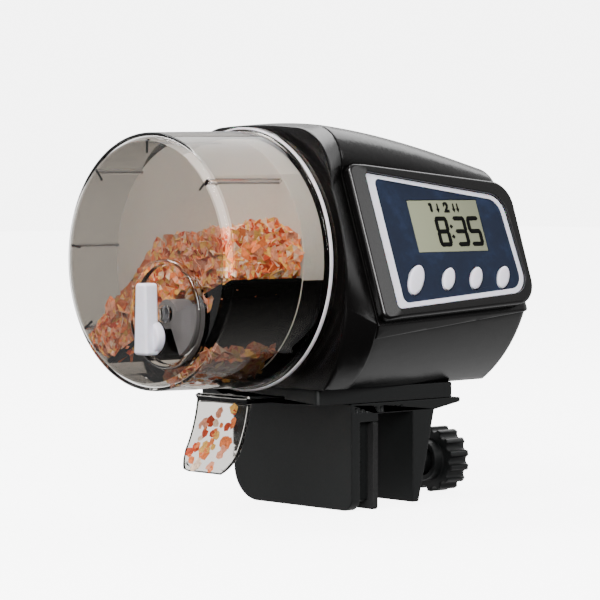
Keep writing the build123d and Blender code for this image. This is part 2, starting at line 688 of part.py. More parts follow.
# Portion that lies ready on the drum's wall beside the outlet
with BuildPart() as food_portion:
    with BuildSketch(front_plane(LID_STATION - SEAT_GAP)):
        with BuildLine():
            Polyline(
                (PORTION_LEFT, PORTION_LEFT_HEIGHT),
                polar(FLANGE_RADIUS, PORTION_RIGHT_ANGLE),
                (FLANGE_RADIUS, -FLANGE_RADIUS),
                (PORTION_LEFT, -FLANGE_RADIUS),
                close=True,
            )
        make_face()
        Circle(DIVIDER_REACH, mode=Mode.INTERSECT)
        with Locations(BOSS_CENTER):
            Circle(WELL_CLEAR, mode=Mode.SUBTRACT)
    extrude(amount=DIVIDER_LENGTH)
save(food_portion, "food_portion")

# Gate: hub, sector web in the boss and a curved shutter that runs through the well
GATE_FRONT = FRONT_STATION - BOSS_HEIGHT + BOSS_WALL + PASS_GAP
GATE_END_ANGLE = GATE_START_ANGLE + GATE_SWEEP


def sector(inner_radius, outer_radius):
    """Ring sector about the boss's centre, as wide as the gate."""
    with BuildLine() as outline:
        CenterArc(BOSS_CENTER, outer_radius, GATE_START_ANGLE, GATE_SWEEP)
        CenterArc(BOSS_CENTER, inner_radius, GATE_START_ANGLE, GATE_SWEEP)
        for angle in (GATE_START_ANGLE, GATE_END_ANGLE):
            Line(polar(inner_radius, angle, BOSS_CENTER), polar(outer_radius, angle, BOSS_CENTER))
    return outline.line


with BuildPart() as feed_gate:
    with BuildSketch(front_plane(GATE_FRONT)):
        add(sector(GATE_HUB_RADIUS / 2, GATE_RADIUS))
        make_face()
    extrude(amount=-GATE_WALL)
    with BuildSketch(front_plane(GATE_FRONT)):
        add(sector(GATE_RADIUS - GATE_WALL, GATE_RADIUS))
        make_face()
    extrude(amount=GATE_FRONT - LID_STATION + PASS_GAP)
    with BuildSketch(front_plane(GATE_FRONT)):
        with Locations(BOSS_CENTER):
            Circle(GATE_HUB_RADIUS)
    extrude(amount=-GATE_HUB_LENGTH)
    with BuildSketch(front_plane(GATE_FRONT)):
        with Locations(BOSS_CENTER):
            Circle(LEVER_SHAFT_RADIUS + RUN_GAP)
    extrude(amount=-GATE_HUB_LENGTH, mode=Mode.SUBTRACT)
save(feed_gate, "feed_gate")

# Lever: shaft, round collar with a lobe under the grip, and a tapered grip
BOSS_FACE = FRONT_STATION - BOSS_HEIGHT
with BuildPart() as portion_lever:
    with BuildSketch(front_plane(GATE_FRONT + GATE_HUB_LENGTH)):
        with Locations(BOSS_CENTER):
            Circle(LEVER_SHAFT_RADIUS)
    extrude(amount=GATE_FRONT + GATE_HUB_LENGTH - BOSS_FACE + PASS_GAP)
    with BuildSketch(front_plane(BOSS_FACE - PASS_GAP)):
        with Locations((BOSS_CENTER[0], BOSS_CENTER[1] - LEVER_LOBE_DROP / 2)):
            SlotCenterToCenter(LEVER_LOBE_DROP, 2 * LEVER_COLLAR_RADIUS, rotation=90)
    extrude(amount=LEVER_COLLAR_HEIGHT)
    with BuildSketch(front_plane(BOSS_FACE - PASS_GAP - LEVER_COLLAR_HEIGHT / 2)):
        with BuildLine():
            Polyline(
                (BOSS_CENTER[0] - LEVER_WIDTH / 2, BOSS_CENTER[1] - LEVER_DOWN),
                (BOSS_CENTER[0] + LEVER_WIDTH / 2, BOSS_CENTER[1] - LEVER_DOWN),
                (BOSS_CENTER[0] + LEVER_TOP_WIDTH / 2, BOSS_CENTER[1] + LEVER_UP),
                (BOSS_CENTER[0] - LEVER_TOP_WIDTH / 2, BOSS_CENTER[1] + LEVER_UP),
                close=True,
            )
        make_face()
    extrude(amount=LEVER_COLLAR_HEIGHT / 2 + LEVER_THICKNESS)
    fillet(portion_lever.faces().sort_by(Axis.X)[0].edges(), radius=LEVER_ROUND)
save(portion_lever, "portion_lever")

# Gear train between the collar's face and the gear plate, in three layers
FACE_STATION = COLLAR_GAP + COLLAR_FACE
DRIVE_STATION = FACE_STATION + LAYER_GAP
MIDDLE_STATION = DRIVE_STATION + GEAR_WIDTH + LAYER_GAP
MOTOR_GEAR_STATION = MIDDLE_STATION + THIN_GEAR_WIDTH + LAYER_GAP
PLATE_STATION = MOTOR_GEAR_STATION + THIN_GEAR_WIDTH + LAYER_GAP
PLATE_BACK = PLATE_STATION + PLATE_WALL
SECOND_IDLER = polar(DRIVE_MODULE * (DRIVE_TEETH + DRIVE_PINION_TEETH) / 2, SECOND_IDLER_ANGLE)
FIRST_IDLER = polar(
    MIDDLE_MODULE * (MIDDLE_TEETH + MIDDLE_PINION_TEETH) / 2, FIRST_IDLER_ANGLE, SECOND_IDLER
)
MOTOR_CENTER = polar(MOTOR_MODULE * (MOTOR_WHEEL_TEETH + MOTOR_PINION_TEETH) / 2, MOTOR_ANGLE, FIRST_IDLER)
HUB_RADIUS = 2 * AXLE_RADIUS


def gear_outline(teeth, module, phase, center):
    """Points of a spur gear with chorded involute flanks; a tooth stands at the phase angle."""
    pitch_radius = teeth * module / 2
    base_radius = pitch_radius * cos(PRESSURE_ANGLE)
    root_radius = pitch_radius - DEDENDUM * module
    tip_radius = pitch_radius + ADDENDUM * module
    half_tooth = pi / (2 * teeth) * (1 - BACKLASH) + tan(PRESSURE_ANGLE) - PRESSURE_ANGLE

    def flank(radius):
        roll = acos(min(1, base_radius / radius))
        return half_tooth - tan(roll) + roll

    radii = (root_radius, max(base_radius, root_radius + module / 10), pitch_radius, tip_radius)
    points = []
    for tooth in range(teeth):
        middle = radians(phase) + 2 * pi * tooth / teeth
        rising = [(r, middle - flank(r)) for r in radii]
        falling = [(r, middle + flank(r)) for r in reversed(radii)]
        points += [(center[0] + r * cos(a), center[1] + r * sin(a)) for r, a in rising + falling]
    return points


def gear_layer(station, width, teeth, module, phase, center):
    """One toothed layer, added to the part that is being built."""
    with BuildSketch(cross_plane(station)) as layer:
        with BuildLine():
            Polyline(*gear_outline(teeth, module, phase, center), close=True)
        make_face()
    extrude(layer.sketch, amount=width)


def round_layer(station, length, radius, center, mode=Mode.ADD):
    """One round length on a shaft's line, added to or cut from the part that is being built."""
    with BuildSketch(cross_plane(station)) as layer:
        with Locations(center):
            Circle(radius)
    extrude(layer.sketch, amount=length, mode=mode)


def facing_gap(angle, teeth):
    """Phase that turns a gap of a gear towards a neighbour that lies at this angle from it."""
    return angle + 180 + 180 / teeth


DOG_STATION = LID_STATION + LID_THICKNESS + PASS_GAP
with BuildPart() as drive_gear:
    with BuildSketch(cross_plane(DOG_STATION)):
        RegularPolygon(DOG_ACROSS_FLATS / 2, 6, major_radius=False)
    extrude(amount=COLLAR_GAP - DOG_STATION)
    round_layer(COLLAR_GAP, FACE_STATION + LAYER_GAP - COLLAR_GAP, JOURNAL_RADIUS, (0, 0))
    gear_layer(DRIVE_STATION, GEAR_WIDTH, DRIVE_TEETH, DRIVE_MODULE, SECOND_IDLER_ANGLE, (0, 0))
    round_layer(DRIVE_STATION, PLATE_BACK - DRIVE_STATION, REAR_JOURNAL_RADIUS, (0, 0))
save(drive_gear, "drive_gear")

with BuildPart() as second_idler_gear:
    pinion_phase = facing_gap(SECOND_IDLER_ANGLE, DRIVE_PINION_TEETH)
    gear_layer(
        DRIVE_STATION, GEAR_WIDTH + LAYER_GAP, DRIVE_PINION_TEETH, DRIVE_MODULE, pinion_phase, SECOND_IDLER
    )
    gear_layer(MIDDLE_STATION, THIN_GEAR_WIDTH, MIDDLE_TEETH, MIDDLE_MODULE, FIRST_IDLER_ANGLE, SECOND_IDLER)
    round_layer(MIDDLE_STATION, PLATE_STATION - PASS_GAP - MIDDLE_STATION, HUB_RADIUS, SECOND_IDLER)
    round_layer(FACE_STATION, PLATE_BACK, AXLE_RADIUS + RUN_GAP, SECOND_IDLER, Mode.SUBTRACT)
save(second_idler_gear, "second_idler_gear")

with BuildPart() as first_idler_gear:
    pinion_phase = facing_gap(FIRST_IDLER_ANGLE, MIDDLE_PINION_TEETH)
    gear_layer(
        MIDDLE_STATION,
        THIN_GEAR_WIDTH + LAYER_GAP,
        MIDDLE_PINION_TEETH,
        MIDDLE_MODULE,
        pinion_phase,
        FIRST_IDLER,
    )
    gear_layer(MOTOR_GEAR_STATION, THIN_GEAR_WIDTH, MOTOR_WHEEL_TEETH, MOTOR_MODULE, MOTOR_ANGLE, FIRST_IDLER)
    round_layer(FACE_STATION + PASS_GAP, PLATE_STATION - FACE_STATION - 2 * PASS_GAP, HUB_RADIUS, FIRST_IDLER)
    round_layer(FACE_STATION, PLATE_BACK, AXLE_RADIUS + RUN_GAP, FIRST_IDLER, Mode.SUBTRACT)
save(first_idler_gear, "first_idler_gear")

with BuildPart() as motor_pinion:
    pinion_phase = facing_gap(MOTOR_ANGLE, MOTOR_PINION_TEETH)
    gear_layer(
        MOTOR_GEAR_STATION, THIN_GEAR_WIDTH, MOTOR_PINION_TEETH, MOTOR_MODULE, pinion_phase, MOTOR_CENTER
    )
    round_layer(MOTOR_GEAR_STATION, THIN_GEAR_WIDTH, MOTOR_SHAFT_RADIUS, MOTOR_CENTER, Mode.SUBTRACT)
save(motor_pinion, "motor_pinion")

with BuildPart() as motor_shaft:
    shaft_end = PLATE_BACK + MOTOR_LENGTH / 2
    round_layer(MOTOR_GEAR_STATION, shaft_end - MOTOR_GEAR_STATION, MOTOR_SHAFT_RADIUS, MOTOR_CENTER)
save(motor_shaft, "motor_shaft")

with BuildPart() as motor:
    round_layer(PLATE_BACK, MOTOR_LENGTH, MOTOR_RADIUS, MOTOR_CENTER)
    round_layer(PLATE_BACK + MOTOR_LENGTH, MOTOR_CAP_LENGTH, MOTOR_CAP_RADIUS, MOTOR_CENTER)
    bore_length = MOTOR_LENGTH / 2 + PASS_GAP
    round_layer(PLATE_BACK, bore_length, MOTOR_SHAFT_RADIUS + RUN_GAP, MOTOR_CENTER, Mode.SUBTRACT)
save(motor, "motor")

# Plate that carries motor and gears on three posts, with its pins and screws
POSTS = [polar(*place) for place in POST_PLACES]
with BuildPart() as gear_plate:
    with BuildSketch(cross_plane(PLATE_STATION)):
        with Locations(MOTOR_CENTER):
            Circle(MOTOR_RADIUS)
        with Locations(FIRST_IDLER, SECOND_IDLER, *POSTS):
            Circle(PLATE_EDGE)
        make_hull()
    extrude(amount=PLATE_WALL)
    for post in POSTS:
        round_layer(FACE_STATION, PLATE_STATION - FACE_STATION, POST_RADIUS, post)
        round_layer(FACE_STATION, PLATE_BACK, SMALL_SCREW_RADIUS, post, Mode.SUBTRACT)
    for axle in (FIRST_IDLER, SECOND_IDLER):
        round_layer(PLATE_STATION, PLATE_WALL, AXLE_RADIUS, axle, Mode.SUBTRACT)
    round_layer(PLATE_STATION, PLATE_WALL, REAR_JOURNAL_RADIUS + RUN_GAP, (0, 0), Mode.SUBTRACT)
    round_layer(PLATE_STATION, PLATE_WALL, MOTOR_SHAFT_RADIUS + PASS_GAP, MOTOR_CENTER, Mode.SUBTRACT)
save(gear_plate, "gear_plate")

with BuildPart() as axle_pins:
    for axle in (FIRST_IDLER, SECOND_IDLER):
        round_layer(FACE_STATION - AXLE_SINK, PLATE_BACK - FACE_STATION + AXLE_SINK, AXLE_RADIUS, axle)
save(axle_pins, "axle_pins")

with BuildPart() as plate_screws:
    for post in POSTS:
        round_layer(FACE_STATION, PLATE_BACK - FACE_STATION, SMALL_SCREW_RADIUS, post)
        round_layer(PLATE_BACK, SMALL_HEAD_HEIGHT, SMALL_HEAD_RADIUS, post)
save(plate_screws, "plate_screws")

# Housing sections: bottom, back side, back corner, crown, front corner, slope of the panel, front foot
BACK_SIDE = ((25.5, 33.5, 30.5, 20.5), (20.0, 28.5, 26.0, 12.5))
SLOPE_TOP = (36.5, 32.3)
SLOPE_FOOT = (-3.2, -0.4)
CROWN_HALF = 14.0
CROWN_RISE = 0.6
CORNER_BULGE = 0.22
BACK_BULGE = 0.14
FOOT_BULGE = 0.08
CORNER_DRAW = 1.3
TOP_SLOPE_SHARE = 0.41
COLLAR_FRONT = ((-28.5, 17.8), (-32.9, 4.0), (-33.4, -11.0))
COLLAR_TOP = 32.4
COLLAR_BACK = (25.8, 34.3, 30.5, 19.0)
WIDEST_DROP = 5.0


def slope_point(up, inset=0.0):
    """Point on the bezel's seat, or a depth under it, a distance up the panel's slope, in axis heights."""
    depth = BEZEL_SEAT + inset
    across = -PANEL_FORWARD + up * sin(PANEL_TILT) + depth * cos(PANEL_TILT)
    return across, -PANEL_DROP + up * cos(PANEL_TILT) - depth * sin(PANEL_TILT)


def between(pair, share):
    """Value at a share of the way from the first of a pair to the second."""
    return pair[0] + (pair[1] - pair[0]) * share


def section_face(station, back, top, slope, front_bottom, inset):
    """One closed section of the housing; an inset draws every side in by a wall's thickness."""
    bottom_half, widest, shoulder, shoulder_height = back
    floor = -FLOOR_DROP + inset
    back_bottom = (bottom_half - CORNER_DRAW * inset, floor)
    front_foot = (-front_bottom + CORNER_DRAW * inset, floor)
    back_shoulder = (shoulder - inset, shoulder_height)
    shoulder_line = top + CROWN_RISE - inset
    back_top, front_top = (CROWN_HALF, shoulder_line), (-CROWN_HALF, shoulder_line)
    slope_top, slope_middle, slope_foot = slope
    with BuildSketch(cross_plane(station)) as section:
        with BuildLine():
            Line(front_foot, back_bottom)
            ThreePointArc(back_bottom, (widest - inset, -WIDEST_DROP), back_shoulder)
            ThreePointArc(back_shoulder, bulge(back_top, back_shoulder, BACK_BULGE), back_top)
            ThreePointArc(back_top, (0, shoulder_line + CROWN_RISE), front_top)
            ThreePointArc(front_top, bulge(slope_top, front_top, CORNER_BULGE), slope_top)
            if slope_middle:
                ThreePointArc(slope_top, slope_middle, slope_foot)
            else:
                Line(slope_top, slope_foot)
            ThreePointArc(slope_foot, bulge(front_foot, slope_foot, FOOT_BULGE), front_foot)
        make_face()
    return section.sketch


def body_section(station, inset, tuck=0.0):
    """Section of the main body: it narrows and falls towards its far end."""
    share = (station - BODY_START) / BODY_LENGTH
    back = [between(pair, share) for pair in zip(*BACK_SIDE)]
    top = TOP_HEIGHT - TOP_DROP * (TOP_SLOPE_SHARE * share + (1 - TOP_SLOPE_SHARE) * share**2)
    slope_top = slope_point(between(SLOPE_TOP, share) - inset / 2, inset)
    slope_foot = slope_point(between(SLOPE_FOOT, share) + inset / 2, inset)
    return section_face(
        station,
        (back[0] - tuck, back[1] - tuck, back[2], back[3]),
        top,
        (slope_top, None, (slope_foot[0] + tuck, slope_foot[1])),
        back[0] - tuck,
        inset,
    )


def collar_section(station, inset):
    """Section of the collar's drum end, round enough to frame the drum."""
    slope = [(across + inset, height) for across, height in COLLAR_FRONT]
    return section_face(station, COLLAR_BACK, COLLAR_TOP, slope, COLLAR_BACK[0], inset)


ROUND_START = BODY_END - END_ROUND
BODY_STATIONS = [BODY_START + (ROUND_START - BODY_START) * share for share in (0, 1 / 3, 2 / 3, 1)]
END_ANGLES = (0, 30, 60, 90)


def housing_form(tuck):
    """Outer form of the body with its far end rounded, added to the part that is being built."""
    loft([body_section(station, 0, tuck) for station in BODY_STATIONS])
    loft(
        [
            body_section(
                ROUND_START + END_ROUND * sin(radians(angle)), END_ROUND * (1 - cos(radians(angle))), tuck
            )
            for angle in END_ANGLES
        ]
    )


with BuildPart() as front_collar:
    loft([collar_section(COLLAR_GAP, 0), body_section(BODY_START, 0)])
    loft(
        [collar_section(FACE_STATION, SHELL_WALL), body_section(BODY_START, SHELL_WALL)], mode=Mode.SUBTRACT
    )
    round_layer(COLLAR_GAP, COLLAR_FACE, JOURNAL_RADIUS + RUN_GAP, (0, 0), Mode.SUBTRACT)
    for axle in (FIRST_IDLER, SECOND_IDLER):
        round_layer(FACE_STATION - AXLE_SINK, AXLE_SINK, AXLE_RADIUS, axle, Mode.SUBTRACT)
save(front_collar, "front_collar")

# Main cover and lower shell, parted by a slanting plane under the panel
PARTING_SLOPE = PARTING_RISE / BODY_LENGTH
PARTING_PLANE = Plane(
    origin=(FLANGE_EDGE_X + BODY_START, 0, AXIS_HEIGHT - PARTING_DROP),
    x_dir=(1, 0, PARTING_SLOPE),
    z_dir=(-PARTING_SLOPE, 0, 1),
)
INNER_STATIONS = BODY_STATIONS[:-1] + [BODY_END - 2 * SHELL_WALL]


def panel_box(corners, low, high, mode):
    """A box on the control panel, between two opposite corners and two heights."""
    (left, bottom), (right, top) = corners
    with BuildSketch(panel_plane(low)) as base:
        with Locations(((left + right) / 2, (bottom + top) / 2)):
            Rectangle(right - left, top - bottom)
    extrude(base.sketch, amount=high - low, mode=mode)


def grown(corners, margin):
    """Two opposite corners moved outwards by a margin."""
    (left, bottom), (right, top) = corners
    return (left - margin, bottom - margin), (right + margin, top + margin)


def rounded_outline(points, left_round, right_round, margin):
    """Four-cornered sketch with softer corners on its right side, drawn in by a margin."""
    with BuildSketch() as outline:
        with BuildLine():
            Polyline(*points, close=True)
        make_face()
        fillet(outline.vertices().sort_by(Axis.X)[:2], radius=left_round)
        fillet(outline.vertices().sort_by(Axis.X)[-2:], radius=right_round)
        if margin:
            offset(amount=-margin, mode=Mode.REPLACE)
    return outline.sketch


def panel_outline(margin):
    """Outline of the panel's sheet, drawn in by a margin."""
    return rounded_outline(PANEL_OUTLINE, PANEL_LEFT_ROUND, PANEL_RIGHT_ROUND, margin)


def bezel_outline(margin):
    """Outline of the bezel, drawn in by a margin."""
    return rounded_outline(BEZEL_OUTLINE, BEZEL_LEFT_ROUND, BEZEL_RIGHT_ROUND, margin)


PANEL_OPENING = grown(BOARD_CORNERS, PASS_GAP)

with BuildPart() as main_cover:
    housing_form(0)
    loft([body_section(station, SHELL_WALL) for station in INNER_STATIONS], mode=Mode.SUBTRACT)
    split(bisect_by=PARTING_PLANE, keep=Keep.TOP)
    panel_box(PANEL_OPENING, -BEZEL_SEAT - 2 * SHELL_WALL, 0, Mode.SUBTRACT)
    with BuildSketch(panel_plane(-BEZEL_SEAT)):
        add(bezel_outline(-SEAT_GAP))
    extrude(amount=2 * BEZEL_SEAT, mode=Mode.SUBTRACT)
save(main_cover, "main_cover")

# Battery places, counted from the housing's floor
FLOOR_HEIGHT = -FLOOR_DROP + SHELL_WALL
CELL_HEIGHT = FLOOR_HEIGHT + TRAY_FLOOR + CELL_RADIUS + SEAT_GAP
CELL_PLACES = ((-CELL_SPACING / 2, CELL_HEIGHT), (CELL_SPACING / 2, CELL_HEIGHT))
CELL_START = TRAY_START + TRAY_WALL + CONTACT_THICKNESS + CONTACT_GAP
CELL_LENGTH = BODY_END - SHELL_WALL - CELL_END_GAP - CELL_TIP_LENGTH - CELL_START
TRAY_END = BODY_END - 2 * SHELL_WALL - SEAT_GAP
TRAY_HALF = CELL_SPACING / 2 + CELL_RADIUS + SEAT_GAP + TRAY_WALL
DOOR_LOW = CELL_HEIGHT - CELL_RADIUS - PASS_GAP
DOOR_HIGH = CELL_HEIGHT + CELL_RADIUS + PASS_GAP
DOOR_HALF = CELL_SPACING / 2 + CELL_RADIUS + PASS_GAP
BASE_SCREW_STATIONS = (BASE_STATION + BASE_SCREW_INSETS[0], BASE_STATION + BASE_LENGTH - BASE_SCREW_INSETS[1])
BASE_SCREWS = [(station, side * BASE_SCREW_ACROSS) for station in BASE_SCREW_STATIONS for side in (-1, 1)]

with BuildPart() as lower_shell:
    housing_form(SKIRT_STEP)
    loft(
        [body_section(station, SHELL_WALL, SKIRT_STEP) for station in INNER_STATIONS], mode=Mode.SUBTRACT
    )
    split(bisect_by=PARTING_PLANE, keep=Keep.BOTTOM)
    with BuildSketch(cross_plane(BODY_END + SHELL_WALL)):
        with Locations((0, (DOOR_LOW + DOOR_HIGH) / 2)):
            Rectangle(2 * DOOR_HALF, DOOR_HIGH - DOOR_LOW)
    extrude(amount=-4 * SHELL_WALL, mode=Mode.SUBTRACT)
    with BuildSketch(Plane.XY.offset(AXIS_HEIGHT - FLOOR_DROP)):
        with Locations([(FLANGE_EDGE_X + station, across) for station, across in BASE_SCREWS]):
            Circle(SMALL_SCREW_RADIUS)
    extrude(amount=SHELL_WALL, mode=Mode.SUBTRACT)
save(lower_shell, "lower_shell")

with BuildPart() as battery_door:
    with BuildSketch(cross_plane(BODY_END - SHELL_WALL)):
        with Locations((0, (DOOR_LOW + DOOR_HIGH) / 2)):
            Rectangle(2 * (DOOR_HALF - PASS_GAP), DOOR_HIGH - DOOR_LOW - 2 * PASS_GAP)
    extrude(amount=SHELL_WALL)
    with BuildSketch(cross_plane(BODY_END)):
        with Locations((0, (DOOR_LOW + DOOR_HIGH) / 2)):
            with GridLocations(DOOR_RIB_PITCH, DOOR_HIGH - DOOR_LOW, DOOR_RIB_COUNT, 1):
                Rectangle(DOOR_RIB_WIDTH, (DOOR_HIGH - DOOR_LOW) / 2)
    extrude(amount=DOOR_RIB)
save(battery_door, "battery_door")

with BuildPart() as battery_tray:
    with BuildSketch(cross_plane(TRAY_START)):
        with Locations((0, (FLOOR_HEIGHT + CELL_HEIGHT) / 2)):
            Rectangle(2 * TRAY_HALF, CELL_HEIGHT - FLOOR_HEIGHT)
    extrude(amount=TRAY_END - TRAY_START)
    with BuildSketch(cross_plane(TRAY_START + TRAY_WALL)):
        with Locations((0, FLOOR_HEIGHT + TRAY_FLOOR + CELL_RADIUS)):
            Rectangle(2 * (TRAY_HALF - TRAY_WALL), 2 * CELL_RADIUS)
    extrude(amount=TRAY_END - TRAY_START, mode=Mode.SUBTRACT)
save(battery_tray, "battery_tray")

with BuildPart() as battery_cells:
    for place in CELL_PLACES:
        round_layer(CELL_START, CELL_LENGTH, CELL_RADIUS, place)
        round_layer(CELL_START + CELL_LENGTH, CELL_TIP_LENGTH, CELL_TIP_RADIUS, place)
save(battery_cells, "battery_cells")

with BuildPart() as battery_contacts:
    for place in CELL_PLACES:
        with BuildSketch(cross_plane(TRAY_START + TRAY_WALL)):
            with Locations((place[0], FLOOR_HEIGHT + TRAY_FLOOR + CELL_RADIUS)):
                Rectangle(CELL_SPACING - 2 * CONTACT_GAP, 2 * CELL_RADIUS)
        extrude(amount=CONTACT_THICKNESS)
        round_layer(TRAY_START + TRAY_WALL + CONTACT_THICKNESS, CONTACT_GAP, CELL_TIP_RADIUS, place)
save(battery_contacts, "battery_contacts")


# Control panel: bezel tray, overlay, border, display and buttons
def window_corners(margin):
    """Display window's opposite corners, grown by a margin."""
    left, bottom = LCD_CENTER[0] - LCD_WIDTH / 2, LCD_CENTER[1] - LCD_HEIGHT / 2
    return grown(((left, bottom), (left + LCD_WIDTH, bottom + LCD_HEIGHT)), margin)


def button_holes(low, high):
    """Cut the buttons' clearance holes between two heights of the panel."""
    with BuildSketch(panel_plane(low)) as holes:
        for across, half_width, half_height in BUTTON_SIZES.values():
            with Locations((across, BUTTON_ROW)):
                Ellipse(half_width + PASS_GAP, half_height + PASS_GAP)
    extrude(holes.sketch, amount=high - low, mode=Mode.SUBTRACT)


TALLEST_BUTTON = max(half_height for across, half_width, half_height in BUTTON_SIZES.values())
POST_ROW = BUTTON_ROW + TALLEST_BUTTON + BUTTON_FLANGE + BOARD_POST_RADIUS + PASS_GAP
BOARD_POSTS = [
    (across, up)
    for across in (BOARD_CORNERS[0][0] + BOARD_POST_INSET, BOARD_CORNERS[1][0] - BOARD_POST_INSET)
    for up in (POST_ROW, BOARD_CORNERS[1][1] - BOARD_POST_INSET)
]

with BuildPart() as control_bezel:
    with BuildSketch(panel_plane(-BEZEL_SEAT)):
        add(bezel_outline(0))
    extrude(amount=BEZEL_SEAT + BEZEL_RIM)
    rim_face = control_bezel.faces().sort_by(lambda face: face.center().Y - face.center().Z)[0]
    fillet(rim_face.edges(), radius=BEZEL_EDGE_ROUND)
    with BuildSketch(panel_plane(-OVERLAY_THICKNESS)):
        add(panel_outline(0))
    extrude(amount=OVERLAY_THICKNESS + BEZEL_RIM, mode=Mode.SUBTRACT)
    panel_box(window_corners(0), -BEZEL_SEAT, BEZEL_RIM, Mode.SUBTRACT)
    button_holes(-BEZEL_SEAT, BEZEL_RIM)
    with BuildSketch(panel_plane(-BEZEL_SEAT)):
        with Locations(BOARD_POSTS):
            Circle(BOARD_POST_RADIUS)
    extrude(amount=BEZEL_SEAT - BOARD_DEPTH)
save(control_bezel, "control_bezel")

with BuildPart() as panel_overlay:
    with BuildSketch(panel_plane(-OVERLAY_THICKNESS)):
        add(panel_outline(SEAT_GAP))
    extrude(amount=OVERLAY_THICKNESS)
    panel_box(window_corners(0), -OVERLAY_THICKNESS, 0, Mode.SUBTRACT)
    button_holes(-OVERLAY_THICKNESS, 0)
save(panel_overlay, "panel_overlay")

with BuildPart() as panel_border:
    with BuildSketch(panel_plane(0)):
        add(panel_outline(SEAT_GAP))
        add(panel_outline(SEAT_GAP + BORDER_WIDTH), mode=Mode.SUBTRACT)
    extrude(amount=BORDER_THICKNESS)
save(panel_border, "panel_border")

with BuildPart() as lcd_window:
    panel_box(window_corners(-SEAT_GAP), -WINDOW_THICKNESS - SEAT_GAP, -SEAT_GAP, Mode.ADD)
save(lcd_window, "lcd_window")

with BuildPart() as lcd_module:
    panel_box(window_corners(LCD_FRAME), -BOARD_DEPTH, -BEZEL_SEAT - SEAT_GAP, Mode.ADD)
    panel_box(
        window_corners(-SEAT_GAP), -BEZEL_SEAT - SEAT_GAP, -WINDOW_THICKNESS - 2 * SEAT_GAP, Mode.ADD
    )
save(lcd_module, "lcd_module")

with BuildPart() as circuit_board:
    panel_box(BOARD_CORNERS, -BOARD_DEPTH - BOARD_THICKNESS, -BOARD_DEPTH, Mode.ADD)
save(circuit_board, "circuit_board")

FLANGE_TOP = -BEZEL_SEAT - BUTTON_FLANGE_DROP
SWITCH_TOP = FLANGE_TOP - BUTTON_FLANGE_HEIGHT - BUTTON_TRAVEL - PASS_GAP / 2
for name, (across, half_width, half_height) in BUTTON_SIZES.items():
    with BuildPart() as button:
        with BuildSketch(panel_plane(FLANGE_TOP)):
            with Locations((across, BUTTON_ROW)):
                Ellipse(half_width, half_height)
        extrude(amount=BUTTON_PROUD - FLANGE_TOP)
        cap = button.faces().sort_by(lambda face: face.center().Y - face.center().Z)[0]
        fillet(cap.edges(), radius=BUTTON_ROUND)
        with BuildSketch(panel_plane(FLANGE_TOP)):
            with Locations((across, BUTTON_ROW)):
                Ellipse(half_width + BUTTON_FLANGE, half_height + BUTTON_FLANGE)
        extrude(amount=-BUTTON_FLANGE_HEIGHT)
    save(button, name)

with BuildPart() as tact_switches:
    for across, half_width, half_height in BUTTON_SIZES.values():
        half = SWITCH_SIZE / 2
        corners = ((across - half, BUTTON_ROW - half), (across + half, BUTTON_ROW + half))
        panel_box(corners, -BOARD_DEPTH, SWITCH_TOP - SWITCH_PLUNGER_HEIGHT, Mode.ADD)
        with BuildSketch(panel_plane(SWITCH_TOP - SWITCH_PLUNGER_HEIGHT)):
            with Locations((across, BUTTON_ROW)):
                Circle(SWITCH_PLUNGER_RADIUS)
        extrude(amount=SWITCH_PLUNGER_HEIGHT)
save(tact_switches, "tact_switches")

with BuildPart() as control_chip:
    half = CHIP_SIZE / 2
    corners = ((LCD_CENTER[0] - half, LCD_CENTER[1] - half), (LCD_CENTER[0] + half, LCD_CENTER[1] + half))
    chip_top = -BOARD_DEPTH - BOARD_THICKNESS
    panel_box(corners, chip_top - CHIP_THICKNESS, chip_top, Mode.ADD)
save(control_chip, "control_chip")

# Base slab with the slide groove, the chute's slot and the screws that hold it
BASE_X = FLANGE_EDGE_X + BASE_STATION
BASE_END_X = BASE_X + BASE_LENGTH
TAB_HEIGHT = AXIS_HEIGHT - CHUTE_TAB_DROP

with BuildPart() as mounting_base:
    with BuildSketch(Plane.XY.offset(BASE_FOOT)):
        with Locations(((BASE_X + BASE_END_X) / 2, 0)):
            RectangleRounded(BASE_LENGTH, BRACKET_WIDTH, BASE_ROUND)
    extrude(amount=BASE_HEIGHT)
    with BuildSketch(clamp_plane(RAIL_START_X - SEAT_GAP)):
        with Locations((0, BASE_FOOT + RAIL_STEM_HEIGHT / 2)):
            Rectangle(RAIL_STEM_WIDTH + 2 * SEAT_GAP, RAIL_STEM_HEIGHT)
        with Locations((0, (RAIL_TOP + SEAT_GAP + PLATE_THICKNESS + RAIL_STEM_HEIGHT - SEAT_GAP) / 2)):
            Rectangle(RAIL_HEAD_WIDTH + 2 * SEAT_GAP, RAIL_HEAD_HEIGHT + 2 * SEAT_GAP)
    extrude(amount=BASE_END_X - RAIL_START_X + 2 * SEAT_GAP, mode=Mode.SUBTRACT)
    with BuildSketch(clamp_plane(BASE_X)):
        with Locations((0, TAB_HEIGHT)):
            Rectangle(CHUTE_WIDTH + 2 * SEAT_GAP, CHUTE_WALL + 2 * SEAT_GAP)
    extrude(amount=CHUTE_TAB_LENGTH + SEAT_GAP, mode=Mode.SUBTRACT)
    with BuildSketch(Plane.XY.offset(BASE_FOOT)):
        with Locations([(FLANGE_EDGE_X + station, across) for station, across in BASE_SCREWS]):
            Circle(SMALL_HEAD_RADIUS + SEAT_GAP)
    extrude(amount=SMALL_HEAD_HEIGHT + SEAT_GAP, mode=Mode.SUBTRACT)
    with BuildSketch(Plane.XY.offset(BASE_FOOT)):
        with Locations([(FLANGE_EDGE_X + station, across) for station, across in BASE_SCREWS]):
            Circle(SMALL_SCREW_RADIUS + SEAT_GAP)
    extrude(amount=BASE_HEIGHT, mode=Mode.SUBTRACT)
save(mounting_base, "mounting_base")

